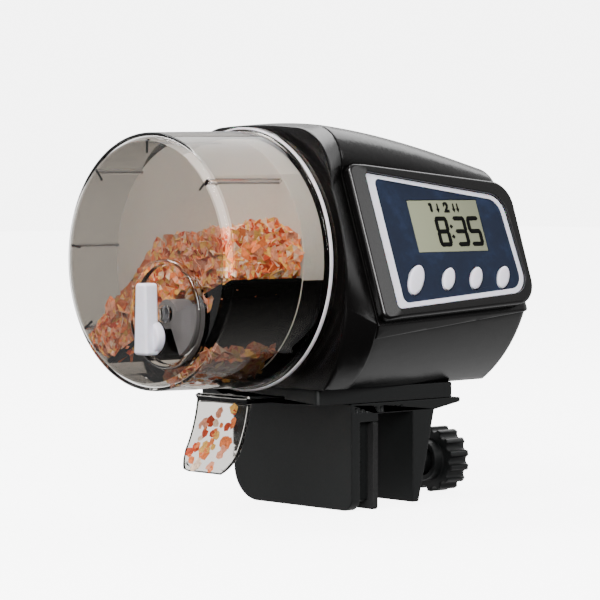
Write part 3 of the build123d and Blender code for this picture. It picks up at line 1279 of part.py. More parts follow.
with BuildPart() as base_screws:
    with BuildSketch(Plane.XY.offset(BASE_FOOT + SEAT_GAP)):
        with Locations([(FLANGE_EDGE_X + station, across) for station, across in BASE_SCREWS]):
            Circle(SMALL_HEAD_RADIUS)
    extrude(amount=SMALL_HEAD_HEIGHT)
    with BuildSketch(Plane.XY.offset(BASE_FOOT + SEAT_GAP)):
        with Locations([(FLANGE_EDGE_X + station, across) for station, across in BASE_SCREWS]):
            Circle(SMALL_SCREW_RADIUS)
    extrude(amount=BASE_SCREW_LENGTH)
save(base_screws, "base_screws")

# Chute: a clear tab that plugs into the base and a sheet that curves down and out
TAB_PLANE = SIDE_PLANE.shift_origin((FLANGE_EDGE_X, 0, TAB_HEIGHT))
with BuildPart() as chute:
    with BuildSketch(TAB_PLANE.offset(-CHUTE_WIDTH / 2)):
        with BuildLine():
            Line((BASE_STATION + CHUTE_TAB_LENGTH, 0), (CHUTE_BEND[0], 0))
        trace(line_width=CHUTE_WALL)
        with BuildLine():
            Line(CHUTE_TOP, CHUTE_BEND)
            ThreePointArc(CHUTE_BEND, CHUTE_MIDDLE, CHUTE_LIP)
        trace(line_width=CHUTE_WALL)
    extrude(amount=CHUTE_WIDTH)
    CHUTE_FOOT = CHUTE_TAB_DROP - CHUTE_LIP[1] + CHUTE_WALL
    with BuildSketch(cross_plane(CHUTE_LIP[0] - CHUTE_WALL)):
        with Locations((0, -CHUTE_FOOT / 2)):
            RectangleRounded(CHUTE_WIDTH, CHUTE_FOOT, CHUTE_LIP_ROUND)
    extrude(amount=3 * CHUTE_WIDTH, mode=Mode.INTERSECT)
save(chute, "chute")
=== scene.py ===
"""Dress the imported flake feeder: clear drum with food, gloss housing, control panel, chute and clamp."""

import json
from math import cos, hypot, pi, radians, sin, tan
from random import Random

import bpy
from mathutils import Matrix, Vector


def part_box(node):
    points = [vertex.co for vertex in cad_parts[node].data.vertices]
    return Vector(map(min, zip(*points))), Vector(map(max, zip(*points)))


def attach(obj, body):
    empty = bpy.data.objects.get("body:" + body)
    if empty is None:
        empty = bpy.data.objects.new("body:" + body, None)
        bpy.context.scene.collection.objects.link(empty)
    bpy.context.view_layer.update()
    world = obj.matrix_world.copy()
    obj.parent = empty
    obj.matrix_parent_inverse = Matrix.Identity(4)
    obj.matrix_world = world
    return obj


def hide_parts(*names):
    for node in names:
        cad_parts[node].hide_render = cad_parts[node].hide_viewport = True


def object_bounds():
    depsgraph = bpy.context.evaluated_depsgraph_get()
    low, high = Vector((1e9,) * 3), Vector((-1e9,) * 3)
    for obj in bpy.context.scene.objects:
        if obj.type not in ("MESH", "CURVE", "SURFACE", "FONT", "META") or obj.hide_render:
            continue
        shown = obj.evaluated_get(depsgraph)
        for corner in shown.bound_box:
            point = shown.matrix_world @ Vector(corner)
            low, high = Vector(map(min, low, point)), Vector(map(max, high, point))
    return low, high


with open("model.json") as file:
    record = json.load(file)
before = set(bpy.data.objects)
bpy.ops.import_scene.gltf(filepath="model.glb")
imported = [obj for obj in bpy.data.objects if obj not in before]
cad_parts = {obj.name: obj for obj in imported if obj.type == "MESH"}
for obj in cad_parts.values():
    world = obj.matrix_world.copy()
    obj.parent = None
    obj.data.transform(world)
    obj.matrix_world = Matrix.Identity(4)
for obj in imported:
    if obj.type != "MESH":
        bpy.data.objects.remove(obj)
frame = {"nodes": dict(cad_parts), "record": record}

bl_info = {
    "name": "Flake feeder dressing",
    "version": (1, 0, 0),
    "blender": (4, 5, 0),
    "location": "3D View > Sidebar > Feeder",
    "description": "Dresses the packed flake feeder with its finishes, food, display and studio",
    "category": "Object",
}

CAD_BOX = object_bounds()
MM = 0.001
MERGE = 0.002 * MM
FLAT = radians(0.4)
SHARP = radians(38)

JOINTS = {joint["name"]: joint for joint in frame["record"]["behaviour"]["joints"]}
AXIS_Z = JOINTS["drum_turn"]["pos_m"][2]
BOSS = JOINTS["portion_turn"]["pos_m"]
PRESS = Vector(JOINTS["set_button_press"]["axis"])


def linear(code):
    """Turn an sRGB hex colour into linear red, green and blue."""
    parts = [int(code[place : place + 2], 16) / 255 for place in (1, 3, 5)]
    return tuple(part / 12.92 if part <= 0.04045 else ((part + 0.055) / 1.055) ** 2.4 for part in parts)


def tint(label, about, code):
    """A colour setting with a hex default."""
    return bpy.props.FloatVectorProperty(
        name=label, description=about, subtype="COLOR", size=3, min=0, max=1, default=linear(code)
    )


def size(label, about, millimetres):
    """A length setting with a default in millimetres."""
    return bpy.props.FloatProperty(
        name=label, description=about, unit="LENGTH", subtype="DISTANCE", min=0, default=millimetres * MM
    )


class FeederSizes(bpy.types.PropertyGroup):
    """Sizes of what the dressing adds to the solids."""

    edge_round: size("Edge round", "Rounding of the moulded edges", 0.3)
    clear_round: size("Clear edge round", "Rounding of the clear pieces' edges", 0.25)
    flake_radius: size("Flake radius", "Half the width of a large food flake", 2.5)
    flake_thickness: size("Flake thickness", "Thickness of a food flake", 0.22)
    digit_height: size("Digit height", "Height of the clock's digits", 8.0)
    digit_width: size("Digit width", "Width of the clock's digits", 4.5)
    segment_width: size("Segment width", "Width of one stroke of a digit", 1.15)
    thread_pitch: size("Thread pitch", "Pitch of the clamp screw's thread", 2.0)
    tooth_pitch: size("Tooth pitch", "Spacing of the fine teeth beside the fixed jaw", 1.1)
    heap_flakes: bpy.props.IntProperty(
        name="Heap flakes", description="Flakes on the heap's surface", min=0, default=1300
    )


class FeederColours(bpy.types.PropertyGroup):
    """Colours of the finishes."""

    smoke: tint("Smoke", "Tint of the drum's clear wall", "#b3aea7")
    clear: tint("Clear", "Tint of the chute", "#c9c6c1")
    frost: tint("Frosted lid", "Moulded lid behind the food", "#c2beb8")
    gloss_black: tint("Gloss black", "Housing", "#070606")
    matt_black: tint("Matt black", "Clamp and base", "#0f1111")
    panel: tint("Panel", "Printed sheet of the control panel", "#121c30")
    # Lighter mottle of the sheet: painted reflection
    panel_painted_sheen: tint("Panel light", "Lighter mottle of the printed sheet", "#1c2944")
    white: tint("White", "Buttons, lever and border", "#e9e6f2")
    gate: tint("Gate", "Rotary gate", "#75757a")
    display: tint("Display", "Display ground", "#878a70")
    ink: tint("Segments", "Display segments", "#050504")
    food_first: tint("Food one", "First colour of the flakes", "#ffae8b")
    food_second: tint("Food two", "Second colour of the flakes", "#ff8a4c")
    food_third: tint("Food three", "Third colour of the flakes", "#fbc262")
    food_fourth: tint("Food four", "Fourth colour of the flakes", "#cf4a22")
    food_fifth: tint("Food five", "Fifth colour of the flakes", "#ffe0c2")


def deselect():
    """Select no object."""
    bpy.ops.object.select_all(action="DESELECT")


def only(piece):
    """Select one object alone and make it active."""
    deselect()
    piece.select_set(True)
    bpy.context.view_layer.objects.active = piece


def edit(piece, choice="SELECT"):
    """Enter edit mode on one object, with all or nothing selected."""
    only(piece)
    bpy.ops.object.mode_set(mode="EDIT")
    bpy.ops.mesh.select_all(action=choice)


def leave():
    """Leave edit mode."""
    bpy.ops.object.mode_set(mode="OBJECT")


def pick_vertices(piece, wanted):
    """Enter edit mode with the vertices selected that a test wants."""
    edit(piece, "DESELECT")
    leave()
    for vertex in piece.data.vertices:
        vertex.select = wanted(vertex)
    bpy.ops.object.mode_set(mode="EDIT")


def pick_edges(piece, wanted):
    """Enter edit mode, in edge mode, with the edges selected that a test wants."""
    edit(piece, "DESELECT")
    bpy.ops.mesh.select_mode(type="EDGE")
    leave()
    for edge in piece.data.edges:
        edge.select = wanted(edge)
    bpy.ops.object.mode_set(mode="EDIT")


def added(name):
    """The object that was just added or joined, under its own name."""
    piece = bpy.context.active_object
    piece.name = name
    piece.data.name = name
    return piece


def settle(piece, matrix):
    """Move a piece to its place and leave its object at the origin, unturned."""
    only(piece)
    piece.matrix_world = matrix
    bpy.ops.object.transform_apply(location=True, rotation=True, scale=True)


def apply_modifier(piece, kind, **settings):
    """Add a modifier with its settings and apply it."""
    only(piece)
    bpy.ops.object.modifier_add(type=kind)
    modifier = piece.modifiers[-1]
    for name, value in settings.items():
        setattr(modifier, name, value)
    bpy.ops.object.modifier_apply(modifier=modifier.name)


def cad_copy(node, name):
    """A piece with a solid's form: loose triangles merged and flat faces made whole."""
    mesh = frame["nodes"][node].data.copy()
    piece = bpy.data.objects.new(name, mesh)
    bpy.context.collection.objects.link(piece)
    mesh.materials.clear()
    only(piece)
    if mesh.has_custom_normals:
        bpy.ops.mesh.customdata_custom_splitnormals_clear()
    edit(piece)
    bpy.ops.mesh.remove_doubles(threshold=MERGE)
    bpy.ops.mesh.dissolve_limited(angle_limit=FLAT)
    leave()
    return piece


def soften(piece, width, segments=2):
    """Round a piece's sharp edges and shade it smooth between them."""
    if width:
        apply_modifier(
            piece,
            "BEVEL",
            width=width,
            segments=segments,
            limit_method="ANGLE",
            angle_limit=SHARP,
            use_clamp_overlap=False,
        )
    only(piece)
    bpy.ops.object.shade_smooth_by_angle(angle=SHARP)
    apply_modifier(piece, "WEIGHTED_NORMAL", mode="FACE_AREA", weight=80, keep_sharp=True)


def join(pieces, name):
    """Join pieces into one mesh."""
    deselect()
    for piece in pieces:
        piece.select_set(True)
    bpy.context.view_layer.objects.active = pieces[0]
    if len(pieces) > 1:
        bpy.ops.object.join()
    return added(name)


def fit(piece, material, body, slot, *nodes):
    """Give a piece its finish and body, and hide the solids it stands for."""
    piece.data.materials.clear()
    piece.data.materials.append(material)
    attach(piece, body)
    if nodes:
        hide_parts(*nodes)


def dress(node, material, body, slot, width):
    """Replace a solid by a softened copy in its finish."""
    piece = cad_copy(node, f"{node}_finish")
    soften(piece, width)
    fit(piece, material, body, slot, node)
    return piece


def put(tree, kind, inputs=None, stops=None, **settings):
    """Add a shader node with its settings, its ramp stops, and its inputs set or linked."""
    node = tree.nodes.new(kind)
    for name, value in settings.items():
        setattr(node, name, value)
    for name, value in (inputs or {}).items():
        if isinstance(value, bpy.types.NodeSocket):
            tree.links.new(value, node.inputs[name])
        else:
            node.inputs[name].default_value = value
    if stops:
        elements = node.color_ramp.elements
        while len(elements) < len(stops):
            elements.new(0.5)
        for element, (place, colour) in zip(elements, stops):
            element.position = place
            element.color = colour
    return node


def start(name, **sockets):
    """A new material, its node tree and its shader with plain socket values."""
    material = bpy.data.materials.new(name)
    material.use_nodes = True
    tree = material.node_tree
    shader = tree.nodes["Principled BSDF"]
    for socket, value in sockets.items():
        shader.inputs[socket.replace("_", " ")].default_value = value
    return material, tree, shader


def opaque(colour):
    """A linear colour with full alpha."""
    return (*colour, 1.0)


def shaded(colour, factor):
    """A linear colour made darker or lighter, with full alpha."""
    return (*(min(1.0, part * factor) for part in colour), 1.0)


def per_mm(spacing):
    """Texture scale for a feature spacing in millimetres."""
    return 1 / (spacing * MM)


def relief(tree, shader, spacing, strength, depth, **grain):
    """Noise with a spacing in millimetres that raises a surface by a depth; gives the noise's value."""
    place = put(tree, "ShaderNodeTexCoord")
    noise = put(
        tree,
        "ShaderNodeTexNoise",
        {"Vector": place.outputs["Object"], "Scale": per_mm(spacing), **grain},
    )
    bump = put(
        tree,
        "ShaderNodeBump",
        {"Height": noise.outputs["Fac"], "Strength": strength, "Distance": depth * MM},
    )
    tree.links.new(bump.outputs["Normal"], shader.inputs["Normal"])
    return noise.outputs["Fac"]


def share_along(tree, node):
    """A value that runs from 0 to 1 along X, over a node's length."""
    low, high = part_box(node)
    place = put(tree, "ShaderNodeTexCoord")
    split = put(tree, "ShaderNodeSeparateXYZ", {"Vector": place.outputs["Object"]})
    share = put(
        tree,
        "ShaderNodeMapRange",
        {"Value": split.outputs["X"], "From Min": low[0], "From Max": high[0]},
    )
    return share.outputs["Result"]


def grained(name, colour, roughness, spacing, spread, depth, **sockets):
    """Moulded plastic: a fine grain moves its colour, gloss and surface a little."""
    material, tree, shader = start(name, **sockets)
    grain = relief(tree, shader, spacing, strength=0.25, depth=depth, Detail=4.0, Roughness=0.6)
    ramp = put(
        tree,
        "ShaderNodeValToRGB",
        {"Fac": grain},
        stops=((0.3, shaded(colour, 1 - spread)), (0.7, shaded(colour, 1 + spread))),
    )
    gloss = put(
        tree,
        "ShaderNodeMapRange",
        {
            "Value": grain,
            "From Min": 0.3,
            "From Max": 0.7,
            "To Min": roughness * (1 - spread),
            "To Max": roughness * (1 + spread),
        },
    )
    tree.links.new(ramp.outputs["Color"], shader.inputs["Base Color"])
    tree.links.new(gloss.outputs["Result"], shader.inputs["Roughness"])
    return material


# How much of its tint a clear wall keeps when it is seen edge on, and where the deepening starts
EDGE_DEPTH = 0.1
EDGE_START = 0.34


def clear_plastic(name, colour, ior, roughness):
    """Polished clear plastic: tinted, deeper where the wall is seen edge on, with faint flow waves."""
    material, tree, shader = start(name, Roughness=roughness, IOR=ior, Transmission_Weight=1.0)
    relief(tree, shader, spacing=9.0, strength=0.06, depth=0.3, Detail=1.0)
    edge = put(tree, "ShaderNodeLayerWeight", {"Blend": 0.5})
    depth = put(
        tree,
        "ShaderNodeValToRGB",
        {"Fac": edge.outputs["Facing"]},
        stops=((EDGE_START, opaque(colour)), (1.0, shaded(colour, EDGE_DEPTH))),
    )
    tree.links.new(depth.outputs["Color"], shader.inputs["Base Color"])
    return material


def colours():
    """The colour settings of this scene."""
    return bpy.context.scene.feeder_colours


def sizes():
    """The size settings of this scene."""
    return bpy.context.scene.feeder_sizes


def finish_of(name):
    """The material of that name, made on first use."""
    if name not in bpy.data.materials:
        FINISHES[name](name)
    return bpy.data.materials[name]


def smoked_polycarbonate(name):
    """Moulded polycarbonate, smoke tinted: clear grey, bright along its edges."""
    return clear_plastic(name, colours().smoke, ior=1.18, roughness=0.02)


def clear_polycarbonate_and_highlight(name):
    """Moulded polycarbonate without tint, for ribs and shaft, seen by their edges; on the drum's front corner
    its lighter colour is a painted highlight.
    """
    return clear_plastic(name, linear("#f7f6f4"), ior=1.13, roughness=0.02)


def ring_polycarbonate_painted_shade(name):
    """Moulded polycarbonate of the boss's thick ring: smoke tint darkened as painted shade, with strong light
    and dark lines.
    """
    return clear_plastic(name, shaded(colours().smoke, 0.45)[:3], ior=1.5, roughness=0.03)


def clear_polystyrene(name):
    """Moulded polystyrene: clear, with a soft sheen."""
    return clear_plastic(name, colours().clear, ior=1.25, roughness=0.06)


def frosted_polypropylene(name):
    """Frosted polypropylene: pale, even and slightly glowing, with a soft grain."""
    glow = {"Subsurface_Weight": 0.2, "Subsurface_Scale": 0.002}
    return grained(name, colours().frost, roughness=0.45, spacing=0.8, spread=0.05, depth=0.05, **glow)


def gloss_abs(name):
    """Polished black ABS: deep black with broad soft reflections and a faint moulding ripple."""
    return grained(
        name, colours().gloss_black, roughness=0.24, spacing=0.6, spread=0.05, depth=0.001, IOR=1.5
    )


def matt_abs(name):
    """Spark-eroded black ABS: charcoal, with an even fine grain drawn at half a millimetre to show."""
    return grained(name, colours().matt_black, roughness=0.5, spacing=0.5, spread=0.12, depth=0.02, IOR=1.5)


def black_polystyrene(name):
    """Moulded black polystyrene of the divider: dull, so that it stays black inside the bright drum."""
    return grained(name, linear("#040404"), roughness=0.6, spacing=0.8, spread=0.1, depth=0.01, IOR=1.08)


def nitrile_rubber(name):
    """Moulded nitrile rubber: dull black with a coarse soft grain."""
    return grained(name, linear("#181818"), roughness=0.75, spacing=0.7, spread=0.2, depth=0.08)


def white_abs(name):
    """Satin white ABS with a lavender cast."""
    glow = {"Subsurface_Weight": 0.1, "Subsurface_Scale": 0.001}
    return grained(name, colours().white, roughness=0.33, spacing=1.2, spread=0.03, depth=0.02, **glow)


def gate_acetal(name):
    """Moulded grey acetal: satin and slightly waxy."""
    return grained(name, colours().gate, roughness=0.35, spacing=1.0, spread=0.06, depth=0.03)


def printed_panel(name):
    """Screen-printed polyester sheet: navy with a soft darker and lighter mottle, a painted reflection, under
    a satin face.
    """
    material, tree, shader = start(
        name, Roughness=0.38, Specular_IOR_Level=0.15, Coat_Weight=0.25, Coat_Roughness=0.25
    )
    place = put(tree, "ShaderNodeTexCoord")
    reflection_mottle = put(
        tree,
        "ShaderNodeTexNoise",
        {"Vector": place.outputs["Object"], "Scale": per_mm(6.0), "Detail": 6.0, "Roughness": 0.65},
    )
    # Mottle of the sheet's colour: painted reflection
    ramp = put(
        tree,
        "ShaderNodeValToRGB",
        {"Fac": reflection_mottle.outputs["Fac"]},
        stops=(
            (0.3, shaded(colours().panel, 0.8)),
            (0.52, opaque(colours().panel)),
            (0.75, opaque(colours().panel_painted_sheen)),
        ),
    )
    relief(tree, shader, spacing=0.35, strength=0.15, depth=0.03, Detail=2.0)
    tree.links.new(ramp.outputs["Color"], shader.inputs["Base Color"])
    return material


def display_ground(name):
    """Reflective display behind its polariser: olive grey, lighter at its end nearer the drum as painted
    light, with a fine grain.
    """
    material, tree, shader = start(name, Roughness=0.42, Coat_Weight=0.3, Coat_Roughness=0.1)
    relief(tree, shader, spacing=0.3, strength=0.1, depth=0.02, Detail=1.0)
    # Lighter at the drum end, darker at the far end: painted light
    ramp = put(
        tree,
        "ShaderNodeValToRGB",
        {"Fac": share_along(tree, "lcd_window")},
        stops=((0.0, shaded(colours().display, 1.1)), (1.0, shaded(colours().display, 0.78))),
    )
    tree.links.new(ramp.outputs["Color"], shader.inputs["Base Color"])
    return material


def display_ink(name):
    """Dark liquid crystal segments: dull near-black."""
    return grained(
        name, colours().ink, roughness=0.7, spacing=0.4, spread=0.1, depth=0.01, Specular_IOR_Level=0.1
    )


SPECK_SHADE = (0.62, 0.55, 0.5)


# A depth below one darkens every colour as painted shade, for the low flakes and the crumb
def food_colour(name, depth, picks):
    """Dull crumbly food, coloured by a number from 0 to 1 that picks from the palette."""
    material, tree, shader = start(name, Roughness=0.65)
    palette = colours()
    ramp = put(
        tree,
        "ShaderNodeValToRGB",
        {"Fac": picks(tree)},
        stops=(
            (0.0, shaded(palette.food_first, depth)),
            (0.3, shaded(palette.food_second, depth)),
            (0.55, shaded(palette.food_third, depth)),
            (0.75, shaded(palette.food_fourth, depth)),
            (0.86, shaded(palette.food_fifth, depth)),
        ),
    )
    ramp.color_ramp.interpolation = "CONSTANT"
    speck = relief(tree, shader, spacing=0.6, strength=0.5, depth=0.15, Detail=3.0, Roughness=0.7)
    shade = put(
        tree,
        "ShaderNodeValToRGB",
        {"Fac": speck},
        stops=((0.3, opaque(SPECK_SHADE)), (0.62, (1.0, 1.0, 1.0, 1.0))),
    )
    tinted = put(
        tree,
        "ShaderNodeMixRGB",
        {"Fac": 1.0, "Color1": ramp.outputs["Color"], "Color2": shade.outputs["Color"]},
        blend_type="MULTIPLY",
    )
    tree.links.new(tinted.outputs["Color"], shader.inputs["Base Color"])
    return material


def flake_food(name, depth=1.0):
    """Pressed dry flakes: each flake in one warm colour of its own, dull and speckled."""
    return food_colour(
        name, depth, lambda tree: put(tree, "ShaderNodeNewGeometry").outputs["Random Per Island"]
    )


def shaded_flake_food(name):
    """Pressed dry flakes that lie low in the drum: the same colours, darkened as painted shade."""
    return flake_food(name, 0.3)


def food_crumb(name):
    """Packed crumb under the flakes: darker patches of the same colours, a flake wide, darkened as painted
    shade.
    """

    def patches(tree):
        place = put(tree, "ShaderNodeTexCoord")
        cells = put(
            tree, "ShaderNodeTexVoronoi", {"Vector": place.outputs["Object"], "Scale": per_mm(2.2)}
        )
        return cells.outputs["Color"]

    # Colours darkened as painted shade between the flakes
    return food_colour(name, 0.6, patches)


def natural_nylon(name):
    """Moulded natural nylon: creamy, waxy, slightly translucent."""
    glow = {"Subsurface_Weight": 0.2, "Subsurface_Scale": 0.001}
    return grained(name, linear("#e4dfd0"), roughness=0.42, spacing=0.9, spread=0.04, depth=0.03, **glow)


def turned_brass(name):
    """Turned brass: warm, with fine turning marks."""
    return grained(
        name, linear("#c9a055"), roughness=0.28, spacing=0.25, spread=0.1, depth=0.02, Metallic=1.0
    )


def zinc_steel(name):
    """Zinc-plated steel: pale, slightly clouded."""
    return grained(
        name, linear("#b9bcc0"), roughness=0.32, spacing=0.8, spread=0.12, depth=0.02, Metallic=1.0
    )


def solder_mask(name):
    """Green solder mask over glass weave."""
    return grained(
        name, linear("#1c5a30"), roughness=0.35, spacing=0.4, spread=0.15, depth=0.03, Coat_Weight=0.4
    )


def moulded_epoxy(name):
    """Moulded epoxy of a chip: dull near-black."""
    return grained(name, linear("#1a1a1c"), roughness=0.6, spacing=0.2, spread=0.15, depth=0.02)


def cell_wrap(name):
    """Shrink-wrapped cell: dark sleeve with a copper band at its far end."""
    material, tree, shader = start(name, Roughness=0.3, Metallic=0.3)
    ramp = put(
        tree,
        "ShaderNodeValToRGB",
        {"Fac": share_along(tree, "battery_cells")},
        stops=(
            (0.0, opaque(linear("#a9adb2"))),
            (0.02, opaque(linear("#24272b"))),
            (0.72, opaque(linear("#b06a33"))),
            (0.975, opaque(linear("#a9adb2"))),
        ),
    )
    ramp.color_ramp.interpolation = "CONSTANT"
    relief(tree, shader, spacing=1.5, strength=0.15, depth=0.05, Detail=2.0)
    tree.links.new(ramp.outputs["Color"], shader.inputs["Base Color"])
    return material


FINISHES = {
    "smoked polycarbonate": smoked_polycarbonate,
    "clear polycarbonate and painted highlight": clear_polycarbonate_and_highlight,
    "ring polycarbonate in painted shade": ring_polycarbonate_painted_shade,
    "clear polystyrene": clear_polystyrene,
    "frosted polypropylene": frosted_polypropylene,
    "gloss ABS": gloss_abs,
    "matt ABS": matt_abs,
    "black polystyrene": black_polystyrene,
    "nitrile rubber": nitrile_rubber,
    "white ABS": white_abs,
    "grey acetal": gate_acetal,
    "printed polyester": printed_panel,
    "display ground": display_ground,
    "display ink": display_ink,
    "flake food": flake_food,
    "flake food in painted shade": shaded_flake_food,
    "food crumb": food_crumb,
    "natural nylon": natural_nylon,
    "turned brass": turned_brass,
    "zinc-plated steel": zinc_steel,
    "solder mask": solder_mask,
    "moulded epoxy": moulded_epoxy,
    "cell wrap": cell_wrap,
}


def block(name, low, high):
    """A box between two corners, with its place in its mesh."""
    deselect()
    bpy.ops.mesh.primitive_cube_add(size=1.0)
    piece = added(name)
    middle = (Vector(low) + Vector(high)) / 2
    span = Vector(high) - Vector(low)
    settle(piece, Matrix.Translation(middle) @ Matrix.Diagonal((*span, 1.0)))
    return piece


def copy_of(piece, matrix):
    """A copy with its own mesh, moved by a matrix."""
    mesh = piece.data.copy()
    mesh.transform(matrix)
    copy = bpy.data.objects.new(piece.name, mesh)
    bpy.context.collection.objects.link(copy)
    return copy


# Drum: millimetres from the flange and the axis, degrees and shares
DRUM_LENGTH = 33.5
DRUM_RADII = (31.5, 32.0)
DRUM_WALL = 1.0
DRUM_ROUNDS = (2.0, 1.25)
FLANGE = (33.0, 2.4)
FLANGE_ROUND = 0.4
BOSS_RADIUS = 13.3
BOSS_HEIGHT = 2.0
BOSS_WALL = 1.2
BOSS_ROUND = 0.8
BOSS_ROOT = 0.6
BORE_END = 1.2
SHELL_SHARE = 0.6
# Margin where the painted highlight on the front corner starts
HIGHLIGHT_CORNER_MARGIN = 0.2
# Margin where the painted shade on the boss's ring starts
SHADE_RING_MARGIN = 0.1
SHAFT_HOLE = 2.1
OUTLET_WALLS = 4
OUTLET = {"angle": 262.0, "half_width": 8.4, "start": 9.7, "length": 10.0}
TURNED_STEPS = 180
ROUND_STEPS = 8
ROD_STEPS = 96
# Steps round the flange's white ring, a painted highlight
HIGHLIGHT_RING_STEPS = 160
RIB_ANGLES = (41.5, 89.75, 131.5, 173.25, 215.0)
RIB_REACH = (28.7, 29.9)
# Reach of the dark mark at each rib's front end: painted shade
SHADE_TICK_REACH = (26.4, 29.8)
RIB_HALF = 0.42
RIB_CORE = 0.25
RIB_GAPS = (0.1, 0.4)
RIB_ROUND = 0.08
# Stations, insets and heights of the ribs' dark marks and grey stripes: painted shade
SHADE_TICK_STATIONS = (0.1, 0.7)
SHADE_LINE_INSETS = (0.8, 0.2)
SHADE_LINE_HEIGHTS = (0.15, 0.45)
# Size and place of the flange's white ring, a painted highlight
HIGHLIGHT_RING_INSET = 0.25
HIGHLIGHT_RING_WIDTH = 0.8
HIGHLIGHT_RING_STATION = 2.2
HIGHLIGHT_RING_THICKNESS = 0.4
HIGHLIGHT_RING_ROUND = 0.1


def corner(middle, radius, first, last):
    """Points round a corner, from one angle to another."""
    angles = [radians(first + (last - first) * step / ROUND_STEPS) for step in range(ROUND_STEPS + 1)]
    return [(middle[0] + radius * cos(angle), middle[1] + radius * sin(angle)) for angle in angles]


def shell_outline():
    """Half section of the drum's wall, from the axis round the flange and back, in millimetres."""
    front, inside = -DRUM_LENGTH, -DRUM_LENGTH + DRUM_WALL
    outer, inner = DRUM_ROUNDS
    wide, flange_width = FLANGE
    outline = [(front, 0.0)]
    outline += corner((front + outer, DRUM_RADII[0] - outer), outer, 180, 90)
    outline += [(-flange_width - FLANGE_ROUND, DRUM_RADII[1]), (-flange_width, DRUM_RADII[1] + FLANGE_ROUND)]
    outline += corner((-flange_width + FLANGE_ROUND, wide - FLANGE_ROUND), FLANGE_ROUND, 180, 90)
    outline += corner((-FLANGE_ROUND, wide - FLANGE_ROUND), FLANGE_ROUND, 90, 0)
    outline += [(0.0, DRUM_RADII[1] - DRUM_WALL)]
    outline += corner((inside + inner, DRUM_RADII[0] - DRUM_WALL - inner), inner, 90, 180)
    return outline + [(inside, 0.0)]


def turned(name, outline, along):
    """A piece turned about the drum's axis from an open half section."""
    deselect()
    bpy.ops.mesh.primitive_circle_add(vertices=len(outline), radius=1.0)
    piece = added(name)
    for vertex, (station, radius) in zip(piece.data.vertices, outline):
        vertex.co = (along + station * MM, 0, AXIS_Z + radius * MM)
    closing = {0, len(outline) - 1}
    pick_edges(piece, lambda edge: set(edge.vertices) == closing)
    bpy.ops.mesh.delete(type="EDGE")
    bpy.ops.mesh.select_mode(type="VERT")
    bpy.ops.mesh.select_all(action="SELECT")
    bpy.ops.mesh.spin(steps=TURNED_STEPS, angle=2 * pi, center=(along, 0, AXIS_Z), axis=(1, 0, 0))
    bpy.ops.mesh.select_all(action="SELECT")
    bpy.ops.mesh.remove_doubles(threshold=MERGE)
    bpy.ops.mesh.normals_make_consistent(inside=False)
    leave()
    return piece


def rod(name, radius, low, high):
    """A round rod along X at the boss, as a tool for cutting or joining."""
    deselect()
    bpy.ops.mesh.primitive_cylinder_add(
        vertices=ROD_STEPS,
        radius=radius,
        depth=high - low,
        location=((low + high) / 2, BOSS[1], BOSS[2]),
        rotation=(0, radians(90), 0),
    )
    piece = added(name)
    settle(piece, piece.matrix_world.copy())
    return piece


def carve(piece, tool, operation):
    """Join a tool to a piece or cut it away, and drop the tool."""
    apply_modifier(piece, "BOOLEAN", object=tool, operation=operation, solver="EXACT")
    bpy.data.objects.remove(tool)


def shell_piece():
    """The drum's clear shell: turned wall, raised boss with its bore, and the outlet."""
    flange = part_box("drum_shell")[1][0]
    shell = turned("drum_shell_finish", shell_outline(), flange)
    front = flange - DRUM_LENGTH * MM
    face = front - BOSS_HEIGHT * MM
    boss = rod("boss", BOSS_RADIUS * MM, face, front + BOSS_ROOT * DRUM_WALL * MM)
    apply_modifier(boss, "BEVEL", width=BOSS_ROUND * MM, segments=4, limit_method="ANGLE", angle_limit=SHARP)
    carve(shell, boss, "UNION")
    well = (BOSS_RADIUS - BOSS_WALL) * MM
    carve(shell, rod("bore", well, face + BOSS_WALL * MM, front + BORE_END * DRUM_WALL * MM), "DIFFERENCE")
    carve(shell, rod("shaft_hole", SHAFT_HOLE * MM, face - MM, face + 2 * BOSS_WALL * MM), "DIFFERENCE")
    end = flange - OUTLET["start"] * MM
    half = OUTLET["half_width"] * MM
    near, far = (DRUM_RADII[0] - OUTLET_WALLS * DRUM_WALL) * MM, (FLANGE[0] + DRUM_WALL) * MM
    gap = block("outlet", (end - OUTLET["length"] * MM, -half, near), (end, half, far))
    turn = Matrix.Translation((0, 0, AXIS_Z)) @ Matrix.Rotation(radians(90 - OUTLET["angle"]), 4, "X")
    settle(gap, turn)
    carve(shell, gap, "DIFFERENCE")
    soften(shell, SHELL_SHARE * sizes().clear_round)
    return shell


def paint_corner_highlight_and_ring_shade(shell):
    """Paint a highlight on the drum's front corner with the untinted finish, and shade on the boss's ring
    with a darker tinted finish.
    """
    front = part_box("drum_shell")[1][0] - DRUM_LENGTH * MM
    highlight_corner_start = (DRUM_RADII[0] - DRUM_ROUNDS[0] - HIGHLIGHT_CORNER_MARGIN) * MM
    shade_ring_start = (BOSS_RADIUS - BOSS_WALL - SHADE_RING_MARGIN) * MM
    # The untinted finish paints a highlight on the front corner; the darker ring finish paints shade on the
    # boss's ring
    shell.data.materials.append(finish_of("clear polycarbonate and painted highlight"))
    shell.data.materials.append(finish_of("ring polycarbonate in painted shade"))
    for face in shell.data.polygons:
        spot = face.center
        on_highlight_corner = spot.x < front + DRUM_ROUNDS[0] * MM and hypot(spot.y, spot.z - AXIS_Z) > highlight_corner_start
        on_shade_ring = spot.x < front and hypot(spot.y - BOSS[1], spot.z - BOSS[2]) > shade_ring_start
        face.material_index = 2 if on_shade_ring else int(on_highlight_corner)


